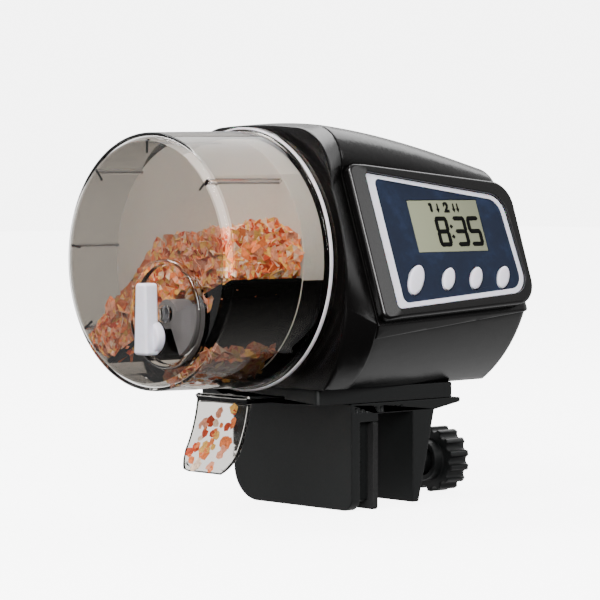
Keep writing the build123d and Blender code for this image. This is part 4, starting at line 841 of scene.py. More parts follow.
def along_ribs(piece, name):
    """Copy a piece that stands upright on the axis to every rib and drop the start piece."""
    lift = Matrix.Translation((0, 0, AXIS_Z))
    turns = [lift @ Matrix.Rotation(radians(90 - angle), 4, "X") for angle in RIB_ANGLES]
    copies = [copy_of(piece, turn) for turn in turns]
    bpy.data.objects.remove(piece)
    ribs = join(copies, name)
    soften(ribs, RIB_ROUND * MM)
    return ribs


def rib_pieces():
    """Clear ribs, with a dark mark at each rib's front end and a grey stripe along its edge, both painted
    shade for the dark look of the clear edges.
    """
    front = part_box("drum_shell")[0][0] + (BOSS_HEIGHT + DRUM_WALL + RIB_GAPS[0]) * MM
    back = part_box("drum_lid")[0][0] - RIB_GAPS[1] * MM
    near, far = (reach * MM for reach in RIB_REACH)
    low, high = (reach * MM for reach in SHADE_TICK_REACH)
    begin, end = (front + station * MM for station in SHADE_TICK_STATIONS)
    under, over = (near + height * MM for height in SHADE_LINE_HEIGHTS)
    first, last = front + SHADE_LINE_INSETS[0] * MM, back - SHADE_LINE_INSETS[1] * MM
    half, core = RIB_HALF * MM, RIB_CORE * MM
    rib = block("rib", (front, -half, near), (back, half, far))
    shade_tick = block("shade_tick", (begin, -core, low), (end, core, high))
    shade_line = block("shade_line", (first, -core, under), (last, core, over))
    return (
        along_ribs(rib, "drum_ribs"),
        along_ribs(shade_tick, "drum_rib_painted_shade_ticks"),
        along_ribs(shade_line, "drum_rib_painted_shade_lines"),
    )


def flange_highlight_ring():
    """White ring set in the flange: a painted highlight for the bright edge that the polished flange shows.
    """
    low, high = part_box("drum_shell")
    radius = (high[1] - low[1]) / 2 - HIGHLIGHT_RING_INSET * MM
    deselect()
    bpy.ops.mesh.primitive_circle_add(vertices=HIGHLIGHT_RING_STEPS, radius=radius)
    highlight_ring = added("drum_flange_painted_highlight")
    edit(highlight_ring)
    bpy.ops.mesh.extrude_region_move(TRANSFORM_OT_translate={"value": (0, 0, HIGHLIGHT_RING_WIDTH * MM)})
    leave()
    place = Matrix.Translation((high[0] - HIGHLIGHT_RING_STATION * MM, 0, AXIS_Z))
    settle(highlight_ring, place @ Matrix.Rotation(radians(90), 4, "Y"))
    edit(highlight_ring)
    bpy.ops.mesh.normals_make_consistent(inside=False)
    leave()
    apply_modifier(highlight_ring, "SOLIDIFY", thickness=HIGHLIGHT_RING_THICKNESS * MM, offset=-1.0)
    soften(highlight_ring, HIGHLIGHT_RING_ROUND * MM, 1)
    return highlight_ring


# Black lid faces and black sheet under the shelf: painted shade
SHADE_LID_FACE = 0.1
SHADE_SHEET_RADIUS = 29.6
SHADE_SHEET_STEPS = 120
SHADE_SHEET_GAPS = (0.12, 0.02)
SHADE_EDGES = (21.8, 206.6)
SHADE_SIDES = (1, -1)


def in_shelf_shade(spot):
    """Whether a spot lies under the shelf and beside the baffle, seen along the axis: where the black painted
    shade goes.
    """
    aside, above = spot.y - BOSS[1], spot.z - BOSS[2]
    edges = [radians(angle) for angle in SHADE_EDGES]
    return all(
        side * (sin(edge) * aside + cos(edge) * above) < 0 for edge, side in zip(edges, SHADE_SIDES)
    )


def lid_shade_sheet():
    """Thin black sheet on the lid, under the shelf and beside the baffle: painted shade."""
    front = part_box("drum_lid")[0][0]
    far, near = (front - gap * MM for gap in SHADE_SHEET_GAPS)
    deselect()
    bpy.ops.mesh.primitive_cylinder_add(
        vertices=SHADE_SHEET_STEPS,
        radius=SHADE_SHEET_RADIUS * MM,
        depth=near - far,
        location=((near + far) / 2, 0, AXIS_Z),
        rotation=(0, radians(90), 0),
    )
    shade_sheet = added("drum_lid_painted_shade")
    settle(shade_sheet, shade_sheet.matrix_world.copy())
    for angle, side in zip(SHADE_EDGES, SHADE_SIDES):
        edit(shade_sheet)
        along = radians(angle)
        bpy.ops.mesh.bisect(
            plane_co=(front, BOSS[1], BOSS[2]),
            plane_no=(0, side * sin(along), side * cos(along)),
            use_fill=True,
            clear_outer=True,
        )
        leave()
    soften(shade_sheet, 0.0)
    return shade_sheet


class FEEDER_OT_drum(bpy.types.Operator):
    """Clear drum shell with a painted highlight on its front corner and painted shade on its boss ring, clear
    ribs with dark marks of painted shade, a white ring in the flange as painted highlight, frosted lid with a
    black sheet of painted shade under the shelf, and black divider
    """

    bl_idname = "feeder.drum"
    bl_label = "Drum"

    def execute(self, context):
        shell = shell_piece()
        fit(shell, finish_of("smoked polycarbonate"), "drum", "smoke_clear", "drum_shell")
        # Painted highlight on the front corner, painted shade on the boss's ring
        paint_corner_highlight_and_ring_shade(shell)
        shell.visible_shadow = False
        ribs, shade_ticks, lines = rib_pieces()
        ribs.visible_shadow = False
        fit(ribs, finish_of("clear polycarbonate and painted highlight"), "drum", "smoke_clear")
        # Dark marks and grey stripes on the ribs: painted shade
        fit(shade_ticks, finish_of("black polystyrene"), "drum", "matt_black")
        fit(lines, finish_of("grey acetal"), "drum", "grey")
        lid = dress("drum_lid", finish_of("frosted polypropylene"), "drum", "grey", sizes().edge_round)
        # The lid's faces under the shelf turn black: painted shade
        lid.data.materials.append(finish_of("black polystyrene"))
        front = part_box("drum_lid")[0][0] + SHADE_LID_FACE * MM
        for face in lid.data.polygons:
            face.material_index = int(face.center.x > front and in_shelf_shade(face.center))
        # Black sheet under the shelf: painted shade
        fit(lid_shade_sheet(), finish_of("black polystyrene"), "drum", "matt_black")
        dress("hopper_divider", finish_of("black polystyrene"), "drum", "matt_black", sizes().clear_round / 2)
        # White ring in the flange: painted highlight
        fit(flange_highlight_ring(), finish_of("white ABS"), "drum", "white")
        return {"FINISHED"}


# Lever: millimetres from the boss
GRIP_ENDS = (-9.6, 7.6)
GRIP_HALVES = (2.5, 1.9)
GRIP_REACH = (7.2, 3.0)
GRIP_ROUND = 0.8
LOBE = {"drop": 5.4, "radius": 4.1, "far": 5.0, "near": 2.4, "round": 0.6}
LEVER_SHAFT = 1.5
SHAFT_SHARE = 0.5


def lever_piece():
    """White lever: tapered grip with rounded edges over a low round lobe."""
    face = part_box("drum_shell")[0][0]
    foot, top = GRIP_ENDS
    half, half_top = GRIP_HALVES
    far, near = (face - reach * MM for reach in GRIP_REACH)
    grip = block(
        "grip",
        (far, BOSS[1] - half * MM, BOSS[2] + foot * MM),
        (near, BOSS[1] + half * MM, BOSS[2] + top * MM),
    )
    pick_vertices(grip, lambda vertex: vertex.co.z > BOSS[2])
    bpy.ops.transform.resize(value=(1, half_top / half, 1), center_override=(far, BOSS[1], BOSS[2]))
    leave()
    soften(grip, GRIP_ROUND * MM, 4)
    lobe = rod("lobe", LOBE["radius"] * MM, face - LOBE["far"] * MM, face - LOBE["near"] * MM)
    settle(lobe, Matrix.Translation((0, 0, -LOBE["drop"] * MM)))
    soften(lobe, LOBE["round"] * MM, 3)
    return join([grip, lobe], "portion_lever_finish")


def lever_shaft():
    """Shaft between the lever and the gate."""
    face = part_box("drum_shell")[0][0]
    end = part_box("portion_lever")[1][0]
    shaft = rod("portion_lever_shaft", LEVER_SHAFT * MM, face - (GRIP_REACH[1] + GRIP_ROUND) * MM, end)
    soften(shaft, SHAFT_SHARE * sizes().edge_round)
    return shaft


class FEEDER_OT_regulator(bpy.types.Operator):
    """White lever and grey gate that set the portion"""

    bl_idname = "feeder.regulator"
    bl_label = "Portion lever"

    def execute(self, context):
        fit(lever_piece(), finish_of("white ABS"), "regulator", "white", "portion_lever")
        fit(lever_shaft(), finish_of("clear polycarbonate and painted highlight"), "regulator", "clear")
        dress("feed_gate", finish_of("grey acetal"), "regulator", "grey", sizes().clear_round / 2)
        return {"FINISHED"}


# Food: millimetres, degrees and shares
FOOD_SEED = 7
FLAKE_KINDS = 9
FEWEST_CORNERS = 5
CORNER_COUNTS = 3
FLAKE_CRUMPLE = 0.3
SMALLEST_FLAKE = 0.55
BY_A_WALL = {"lift": 0.25, "tilt": 12, "share": 0.9}
IN_THE_OPEN = {"lift": 0.5, "tilt": 32, "share": 1.0}
WALL_ZONE = 5.5
END_FACING = 0.6
CRUMB_VOXEL = 0.9
LUMPS = {"spacing": 2.5, "height": 1.6, "level": 0.95}
HEAP_SINK = (1.2, 6.0)
FREE_TOP = (2.0, 0.4)
PORTION = {"part": 5, "sink": 0.25}
CHUTE = {"margin": 3.0, "filled": 0.85, "level": 0.3}
CHUTE_FLAKES = {"count": 44, "lift": 0.7, "tilt": 6, "shares": (0.4, 0.75)}


def flake_shapes(count):
    """Crumpled thin flakes to copy from, made once."""
    shapes = []
    for number in range(count):
        deselect()
        corners = FEWEST_CORNERS + number % CORNER_COUNTS
        bpy.ops.mesh.primitive_circle_add(vertices=corners, radius=1.0, fill_type="NGON")
        flake = added(f"flake_shape_{number}")
        edit(flake)
        bpy.ops.mesh.poke()
        bpy.ops.mesh.select_all(action="SELECT")
        bpy.ops.transform.vertex_random(offset=FLAKE_CRUMPLE, uniform=0.0, normal=0.0, seed=number)
        leave()
        apply_modifier(
            flake, "SOLIDIFY", thickness=sizes().flake_thickness / sizes().flake_radius, offset=0.0
        )
        shapes.append(flake)
    return shapes


def lay_flakes(shapes, places, random, name):
    """Copy a flake to each place, turned to its normal and tilted, and join the copies."""
    copies = []
    for spot, normal, tilt, share in places:
        shape = shapes[random.randrange(len(shapes))]
        mesh = shape.data.copy()
        facing = Vector(normal).to_track_quat("Z", "Y").to_matrix().to_4x4()
        lean = Matrix.Rotation(radians(random.uniform(-tilt, tilt)), 4, "X")
        turn = Matrix.Rotation(random.uniform(0, 2 * pi), 4, "Z")
        grow = Matrix.Scale(sizes().flake_radius * share * random.uniform(SMALLEST_FLAKE, 1.0), 4)
        mesh.transform(Matrix.Translation(spot) @ facing @ lean @ turn @ grow)
        copy = bpy.data.objects.new("flake", mesh)
        bpy.context.collection.objects.link(copy)
        copies.append(copy)
    return join(copies, name)


def crumb(node, name, share):
    """A food solid's form, broken up into lumps, with its free top sunk, most towards the front."""
    piece = cad_copy(node, name)
    apply_modifier(piece, "REMESH", mode="VOXEL", voxel_size=CRUMB_VOXEL * MM)
    lumps = bpy.data.textures.new(f"{name} lumps", "CLOUDS")
    lumps.noise_scale = LUMPS["spacing"] * MM
    apply_modifier(
        piece,
        "DISPLACE",
        texture=lumps,
        texture_coords="LOCAL",
        strength=LUMPS["height"] * MM,
        mid_level=LUMPS["level"],
    )
    low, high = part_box(node)
    back_sink, front_sink = HEAP_SINK
    gain, least_up = FREE_TOP
    ups = [vertex.normal.z for vertex in piece.data.vertices]
    for vertex, up in zip(piece.data.vertices, ups):
        forward = (high[0] - vertex.co.x) / (high[0] - low[0])
        sink = (back_sink + (front_sink - back_sink) * forward) * share
        vertex.co.z -= sink * MM * min(1.0, max(0.0, gain * up - least_up))
    only(piece)
    bpy.ops.object.shade_smooth_by_angle(angle=SHARP)
    piece.data.materials.append(finish_of("food crumb"))
    return piece


def over_faces(faces, count, random, near_wall):
    """Places for flakes all over some faces, flatter where a wall is near."""
    places = []
    for face in random.choices(faces, [face.area for face in faces], k=count):
        lay = BY_A_WALL if near_wall(face.center, face.normal) else IN_THE_OPEN
        lift = face.normal * lay["lift"] * MM
        places.append((face.center + lift, face.normal, lay["tilt"], lay["share"]))
    return places


def chute_places(random):
    """Places for single flakes on the chute's inner face."""
    low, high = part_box("chute")
    half = (high[1] - low[1]) / 2 - CHUTE["margin"] * MM
    top = low[2] + CHUTE["filled"] * (high[2] - low[2])
    sides = [
        face
        for face in frame["nodes"]["chute"].data.polygons
        if face.normal.x < -END_FACING and abs(face.normal.y) < CHUTE["level"] and face.center.z < top
    ]
    places = []
    for face in random.choices(sides, [face.area for face in sides], k=CHUTE_FLAKES["count"]):
        spot = Vector((face.center.x, random.uniform(-half, half), face.center.z))
        spot += face.normal * CHUTE_FLAKES["lift"] * MM
        places.append((spot, face.normal, CHUTE_FLAKES["tilt"], random.uniform(*CHUTE_FLAKES["shares"])))
    return places


class FEEDER_OT_food(bpy.types.Operator):
    """Heap of flakes in the drum, the portion by the outlet and a few flakes on the chute"""

    bl_idname = "feeder.food"
    bl_label = "Food"

    def execute(self, context):
        random = Random(FOOD_SEED)
        shapes = flake_shapes(FLAKE_KINDS)
        low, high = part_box("drum_shell")
        wall = (high[1] - low[1]) / 2 - WALL_ZONE * MM

        def near_wall(spot, normal):
            return abs(normal.x) > END_FACING or hypot(spot.y, spot.z - AXIS_Z) > wall

        heap = sizes().heap_flakes
        # The portion's flakes take the darker finish: painted shade
        for node, count, share, flake_finish in (
            ("food_heap", heap, 1.0, "flake food"),
            ("food_portion", heap // PORTION["part"], PORTION["sink"], "flake food in painted shade"),
        ):
            core = crumb(node, f"{node}_crumb", share)
            places = over_faces(core.data.polygons, count, random, near_wall)
            flakes = lay_flakes(shapes, places, random, "flakes")
            flakes.data.materials.append(finish_of(flake_finish))
            food = join([core, flakes], f"{node}_finish")
            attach(food, "drum")
            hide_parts(node)
        on_chute = lay_flakes(shapes, chute_places(random), random, "flakes_on_chute")
        fit(on_chute, finish_of("flake food"), "housing", "food")
        for shape in shapes:
            bpy.data.objects.remove(shape)
        return {"FINISHED"}


COLLAR_ROUND = 0.6


class FEEDER_OT_housing(bpy.types.Operator):
    """Collar, cover, lower shell, bezel and battery door in gloss black, and the base slab"""

    bl_idname = "feeder.housing"
    bl_label = "Housing"

    def execute(self, context):
        for node in ("main_cover", "lower_shell"):
            dress(node, finish_of("gloss ABS"), "housing", "gloss_black", sizes().edge_round)
        dress("front_collar", finish_of("gloss ABS"), "housing", "gloss_black", COLLAR_ROUND * MM)
        fit(bezel_piece(), finish_of("gloss ABS"), "housing", "gloss_black", "control_bezel")
        dress("battery_door", finish_of("gloss ABS"), "door", "gloss_black", sizes().edge_round)
        dress("mounting_base", finish_of("matt ABS"), "housing", "matt_black", sizes().edge_round)
        return {"FINISHED"}


def panel_matrix(node):
    """Place on the control panel over a node's middle: right, up the slope, and out of the panel."""
    low, high = (Vector(corner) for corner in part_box(node))
    out = -PRESS.normalized()
    right = Vector((1, 0, 0))
    up = out.cross(right)
    turn = Matrix((right, up, out)).transposed().to_4x4()
    return Matrix.Translation((low + high) / 2) @ turn


# Display: millimetres from its middle, degrees and shares
SEGMENTS = {
    "top": (0, 1, 0),
    "middle": (0, 0, 0),
    "bottom": (0, -1, 0),
    "upper_left": (-1, 0.5, 90),
    "upper_right": (1, 0.5, 90),
    "lower_left": (-1, -0.5, 90),
    "lower_right": (1, -0.5, 90),
}
DIGITS = {
    8: tuple(SEGMENTS),
    3: ("top", "middle", "bottom", "upper_right", "lower_right"),
    5: ("top", "middle", "bottom", "upper_left", "lower_right"),
}
CLOCK = ((8, -2.0), (3, 4.3), (5, 9.2))
CLOCK_ROW = -1.5
COLON = ((1.15, -0.2), (1.15, -2.9))
HEADER_ROW = 4.9
HEADER_HEIGHT = 2.8
HEADER_BOLD = 0.22
HEADER_STROKE = 0.85
HEADER_NUMBER = ("2", 1.0)
HEADER_ONE = ((-4.3, 0.0, 2.7, 90), (-4.75, 0.85, 1.0, 45))
HEADER_ARROWS = (-2.0, 3.6, 5.0)
INK_THICKNESS = 0.04
INK_LIFT = 0.02
PANE_HALF = 0.4
SEGMENT_GAP = 0.25
DOT_LENGTH = 1.1
TEXT_SIZE = 1.25
TEXT_DROP = 2.4
ARROW = {"stem": 0.7, "width": 0.55, "rise": 0.15, "tip": 0.75, "drop": 0.7}
STROKE_END = 0.49


def stroke(length, width, name):
    """One flat stroke with pointed ends, lying along X at the origin."""
    deselect()
    bpy.ops.mesh.primitive_plane_add(size=1.0)
    piece = added(name)
    edit(piece)
    bpy.ops.transform.resize(value=(length - width, width, 1), center_override=(0, 0, 0))
    for side in (-1, 1):
        bpy.ops.mesh.select_all(action="DESELECT")
        leave()
        for edge in piece.data.edges:
            ends = [piece.data.vertices[index].co.x * side for index in edge.vertices]
            edge.select = min(ends) > STROKE_END * (length - width)
        bpy.ops.object.mode_set(mode="EDIT")
        bpy.ops.mesh.select_mode(type="EDGE")
        bpy.ops.mesh.extrude_region_move(TRANSFORM_OT_translate={"value": (side * width / 2, 0, 0)})
        bpy.ops.mesh.merge(type="CENTER")
    bpy.ops.mesh.select_mode(type="VERT")
    leave()
    return piece


def flat_place(across, up, turn=0.0):
    """Matrix of a place on the display, in millimetres from its middle."""
    return Matrix.Translation((across * MM, up * MM, 0)) @ Matrix.Rotation(radians(turn), 4, "Z")


class FEEDER_OT_display(bpy.types.Operator):
    """Display, the pane laminated to it, and the dark segments"""

    bl_idname = "feeder.display"
    bl_label = "Display"

    def execute(self, context):
        wide, tall, thick = sizes().digit_width / MM, sizes().digit_height / MM, sizes().segment_width / MM
        pieces = []
        for number, middle in CLOCK:
            for name in DIGITS[number]:
                across, up, turn = SEGMENTS[name]
                length = (wide if turn == 0 else tall / 2) - SEGMENT_GAP * thick
                bar = stroke(length * MM, thick * MM, "segment")
                place = (middle + across * (wide - thick) / 2, CLOCK_ROW + up * (tall - thick) / 2)
                settle(bar, flat_place(*place, turn))
                pieces.append(bar)
        for across, up in COLON:
            dot = stroke(DOT_LENGTH * thick * MM, thick * MM, "dot")
            settle(dot, flat_place(across, up))
            pieces.append(dot)
        body, across = HEADER_NUMBER
        deselect()
        bpy.ops.object.text_add()
        words = bpy.context.active_object
        words.data.body = body
        words.data.size = HEADER_HEIGHT * MM * TEXT_SIZE
        words.data.align_x = "CENTER"
        words.data.offset = HEADER_BOLD * MM
        bpy.ops.object.convert(target="MESH")
        mark = added("header_number")
        settle(mark, flat_place(across, HEADER_ROW - HEADER_HEIGHT / TEXT_DROP))
        pieces.append(mark)
        for across, up, length, turn in HEADER_ONE:
            bar = stroke(length * MM, HEADER_STROKE * MM, "header_one")
            settle(bar, flat_place(across, HEADER_ROW + up, turn))
            pieces.append(bar)
        for across in HEADER_ARROWS:
            stem = stroke(HEADER_HEIGHT * ARROW["stem"] * MM, ARROW["width"] * MM, "arrow_stem")
            settle(stem, flat_place(across, HEADER_ROW + ARROW["rise"], 90))
            deselect()
            bpy.ops.mesh.primitive_circle_add(vertices=3, radius=ARROW["tip"] * MM, fill_type="NGON")
            tip = added("arrow_tip")
            settle(tip, flat_place(across, HEADER_ROW - ARROW["drop"], 180))
            pieces += [stem, tip]
        ink = join(pieces, "display_segments")
        apply_modifier(ink, "SOLIDIFY", thickness=INK_THICKNESS * MM, offset=1.0)
        settle(ink, panel_matrix("lcd_window") @ Matrix.Translation((0, 0, (PANE_HALF + INK_LIFT) * MM)))
        fit(ink, finish_of("display ink"), "housing", "chip")
        for node in ("lcd_module", "lcd_window"):
            dress(node, finish_of("display ground"), "housing", "display", 0.0)
        return {"FINISHED"}


# Panel: millimetres, shares of the solids' sizes, and angles
BUTTONS = ("set_button", "first_meal_button", "second_meal_button", "feed_button")
BUTTON_NARROW = 0.8
BUTTON_LONG = 1.16
BUTTON_LEAN = radians(-37)
BUTTON_PROUD = 1.1
HOLE_NARROW = 0.84
STEM_SHARE = 0.7
STEM_EDGE = 0.9
OVAL_STEPS = 64
CAP_BOTTOM = -0.45
CAP_SIDE = 0.25
CAP_STEPS = ((0.2, 0.15), (0.25, 0.09), (0.3, 0.05))
CAP_ROOM = 0.2
ROOM_DEPTH = 6.0
BORDER_EXTRA = {"left": 1.5, "top": -0.1}
BORDER_CORNER = 1.8
BORDER_STEPS = 6
BORDER_EDGE = 0.08
STRAIGHT = 0.95
BAR_SLOPE = radians(10)


def cap_place(node):
    """A button's middle on the sheet, and the halves of its leaning cap and of its flange."""
    place = panel_matrix(node)
    inverse = place.inverted()
    spots = [inverse @ vertex.co for vertex in frame["nodes"][node].data.vertices]
    sheet = max(spot.z for spot in spots) - BUTTON_PROUD * MM
    capped = [spot for spot in spots if spot.z > sheet]
    highest = max(spot.y for spot in capped)
    row = (highest + min(spot.y for spot in capped)) / 2
    cap = (max(spot.x for spot in capped) * BUTTON_NARROW, (highest - row) * BUTTON_LONG)
    flange = (max(spot.x for spot in spots), max(spot.y for spot in spots) - row)
    return place @ Matrix.Translation((0, row, sheet)), cap, flange


def button_piece(node):
    """A button: its flange and a slim stem, with a domed oval cap that leans over on the panel."""
    place, halves, flange = cap_place(node)
    inverse = place.inverted()
    button = cad_copy(node, f"{node}_finish")
    edit(button)
    bpy.ops.mesh.bisect(
        plane_co=place @ Vector((0, 0, CAP_BOTTOM * MM)),
        plane_no=-PRESS.normalized(),
        use_fill=True,
        clear_outer=True,
    )
    leave()
    for vertex in button.data.vertices:
        spot = inverse @ vertex.co
        if hypot(spot.x / flange[0], spot.y / flange[1]) < STEM_EDGE:
            vertex.co = place @ Vector((spot.x * STEM_SHARE, spot.y * STEM_SHARE, spot.z))
    deselect()
    bpy.ops.mesh.primitive_circle_add(vertices=OVAL_STEPS, radius=1.0, fill_type="NGON")
    cap = added("cap")
    edit(cap)
    bpy.ops.transform.resize(value=(*halves, 1), center_override=(0, 0, 0))
    bpy.ops.mesh.extrude_region_move(TRANSFORM_OT_translate={"value": (0, 0, (CAP_SIDE - CAP_BOTTOM) * MM)})
    for thickness, depth in CAP_STEPS:
        bpy.ops.mesh.inset(thickness=thickness * MM, depth=depth * MM)
    leave()
    lean = Matrix.Rotation(BUTTON_LEAN, 4, "Z")
    settle(cap, place @ Matrix.Translation((0, 0, CAP_BOTTOM * MM)) @ lean)
    only(cap)
    bpy.ops.object.shade_smooth_by_angle(angle=SHARP)
    return join([button, cap], f"{node}_finish")


def border_piece():
    """White border, widened at its left and with rounded inner corners there."""
    frame_of_panel = panel_matrix("panel_border")
    turn = frame_of_panel.to_3x3().inverted()
    inverse = frame_of_panel.inverted()
    border = cad_copy("panel_border", "panel_border_finish")
    moves = {}
    for face in border.data.polygons:
        normal = turn @ face.normal
        middle = inverse @ face.center
        inner = normal.x * middle.x + normal.y * middle.y < 0
        if inner and normal.x > STRAIGHT:
            for index in face.vertices:
                moves.setdefault(index, Vector())
                moves[index].x = BORDER_EXTRA["left"] * MM
        if inner and normal.y < -STRAIGHT:
            for index in face.vertices:
                moves.setdefault(index, Vector())
                moves[index].y = -BORDER_EXTRA["top"] * MM
    back = frame_of_panel.to_3x3()
    for index, move in moves.items():
        border.data.vertices[index].co += back @ move
    both = {index for index, move in moves.items() if move.x}
    lowest = min(both, key=lambda index: border.data.vertices[index].co.z)
    foot = border.data.vertices[lowest].co.z + MM

    def in_left_corner(edge):
        first, last = (border.data.vertices[index].co for index in edge.vertices)
        upright = abs((turn @ (last - first).normalized()).z) > STRAIGHT
        low_corner = max(first.z, last.z) < foot
        top_corner = all(moves.get(index, Vector()).y for index in edge.vertices)
        return upright and set(edge.vertices) <= both and bool(low_corner or top_corner)

    pick_edges(border, in_left_corner)
    bpy.ops.mesh.bevel(offset=BORDER_CORNER * MM, segments=BORDER_STEPS, affect="EDGES")
    bpy.ops.mesh.select_mode(type="VERT")
    leave()
    soften(border, BORDER_EDGE * MM)
    return border


def overlay_piece():
    """Printed sheet whose button holes turn and stretch as the buttons' caps lean."""
    sheet = cad_copy("panel_overlay", "panel_overlay_finish")
    lean = Matrix.Rotation(BUTTON_LEAN, 3, "Z")
    for node in BUTTONS:
        place, _, flange = cap_place(node)
        inverse = place.inverted()
        for vertex in sheet.data.vertices:
            spot = inverse @ vertex.co
            if hypot(spot.x / flange[0], spot.y / flange[1]) < 1:
                vertex.co = place @ (lean @ Vector((spot.x * HOLE_NARROW, spot.y * BUTTON_LONG, spot.z)))
    soften(sheet, 0.0)
    return sheet


def make_room(bezel):
    """Cut room for the leaning caps into the bezel's tray."""
    for node in BUTTONS:
        place, halves = cap_place(node)[:2]
        wide, tall = (half + CAP_ROOM * MM for half in halves)
        deselect()
        bpy.ops.mesh.primitive_cylinder_add(vertices=OVAL_STEPS, radius=1.0, depth=ROOM_DEPTH * MM)
        room = added("cap_room")
        edit(room)
        bpy.ops.transform.resize(value=(wide, tall, 1), center_override=(0, 0, 0))
        leave()
        settle(room, place @ Matrix.Rotation(BUTTON_LEAN, 4, "Z"))
        carve(bezel, room, "DIFFERENCE")


def bezel_piece():
    """Bezel whose left bar slopes away from the sheet, with room cut for the leaning caps."""
    bezel = cad_copy("control_bezel", "control_bezel_finish")
    frame_of_panel = panel_matrix("panel_overlay")
    inverse = frame_of_panel.inverted()
    sheet = [inverse @ vertex.co for vertex in frame["nodes"]["panel_overlay"].data.vertices]
    lower = min(sheet, key=lambda spot: spot.x + spot.y)
    upper = min(sheet, key=lambda spot: spot.x - spot.y)
    top = max(spot.z for spot in sheet)
    away = Vector((lower.y - upper.y, upper.x - lower.x, 0)).normalized()
    edit(bezel)
    bpy.ops.mesh.bisect(plane_co=frame_of_panel @ lower, plane_no=frame_of_panel.to_3x3() @ away)
    leave()
    for vertex in bezel.data.vertices:
        spot = inverse @ vertex.co
        past = (spot - lower).dot(away)
        if past > 0 and spot.z > top:
            spot.z -= past * tan(BAR_SLOPE)
            vertex.co = frame_of_panel @ spot
    soften(bezel, sizes().edge_round)
    make_room(bezel)
    soften(bezel, 0.0)
    return bezel


class FEEDER_OT_panel(bpy.types.Operator):
    """Printed panel sheet, white border and four domed buttons"""

    bl_idname = "feeder.panel"
    bl_label = "Panel and buttons"

    def execute(self, context):
        fit(overlay_piece(), finish_of("printed polyester"), "housing", "panel_blue", "panel_overlay")
        fit(border_piece(), finish_of("white ABS"), "housing", "white", "panel_border")
        for node in BUTTONS:
            fit(button_piece(node), finish_of("white ABS"), node, "white", node)
        return {"FINISHED"}


class FEEDER_OT_chute(bpy.types.Operator):
    """Clear chute with softened rims"""

    bl_idname = "feeder.chute"
    bl_label = "Chute"

    def execute(self, context):
        chute = dress("chute", finish_of("clear polystyrene"), "housing", "clear", sizes().clear_round)
        chute.visible_shadow = False
        return {"FINISHED"}


# Clamp: millimetres and shares of a pitch
JAW_TEETH_X = (-12.8, -10.4)
JAW_TEETH_Z = (-17.6, -1.8)
JAW_SIDE = -20.4
JAW_TOOTH = {"proud": 0.35, "seat": 0.1, "height": 0.8, "tip": 0.35, "round": 0.05}
SCREW_RADIUS = 4.0
THREAD_DEPTH = 0.55
THREAD_ENDS = 9.0
THREAD_SEARCH = 0.1
THREAD_STEPS = 28
RIDGE_SINK = 0.15
RIDGE_HALF = 0.38
KNOB_SHARE = 1.6


def thread_ridge(begin, axis_z, root, outer, turns):
    """Helical ridge of the screw's thread, wound from one three-cornered profile."""
    pitch = sizes().thread_pitch
    deselect()
    bpy.ops.mesh.primitive_circle_add(
        vertices=3, radius=root, fill_type="NOTHING", location=(begin, 0, axis_z)
    )
    ridge = added("clamp_screw_thread")
    below, half = root - RIDGE_SINK * MM, RIDGE_HALF * pitch
    corners = ((-half, 0, below), (0, 0, outer), (half, 0, below))
    for vertex, corner in zip(ridge.data.vertices, corners):
        vertex.co = corner
    apply_modifier(
        ridge,
        "SCREW",
        axis="X",
        angle=2 * pi,
        screw_offset=pitch,
        iterations=turns,
        steps=THREAD_STEPS,
        render_steps=THREAD_STEPS,
        use_merge_vertices=False,
    )
    edit(ridge)
    bpy.ops.mesh.fill_holes(sides=3)
    bpy.ops.mesh.normals_make_consistent(inside=False)
    leave()
    settle(ridge, ridge.matrix_world.copy())
    only(ridge)
    bpy.ops.object.shade_smooth_by_angle(angle=SHARP)
    return ridge


def jaw_teeth():
    """Row of fine level teeth on the side of the fixed jaw's block."""
    pitch = sizes().tooth_pitch
    left, right = (across * MM for across in JAW_TEETH_X)
    bottom, top = (height * MM for height in JAW_TEETH_Z)
    face, tip = JAW_SIDE * MM, (JAW_SIDE - JAW_TOOTH["proud"]) * MM
    height = JAW_TOOTH["height"] * pitch
    tooth = block("jaw_tooth", (left, tip, bottom), (right, face + JAW_TOOTH["seat"] * MM, bottom + height))
    pick_vertices(tooth, lambda vertex: vertex.co.y < face)
    middle = (left, tip, bottom + height / 2)
    bpy.ops.transform.resize(value=(1, 1, JAW_TOOTH["tip"]), center_override=middle)
    leave()
    count = int((top - bottom) / pitch)
    row = [copy_of(tooth, Matrix.Translation((0, 0, step * pitch))) for step in range(count)]
    bpy.data.objects.remove(tooth)
    teeth = join(row, "jaw_teeth")
    soften(teeth, JAW_TOOTH["round"] * MM, 1)
    return teeth


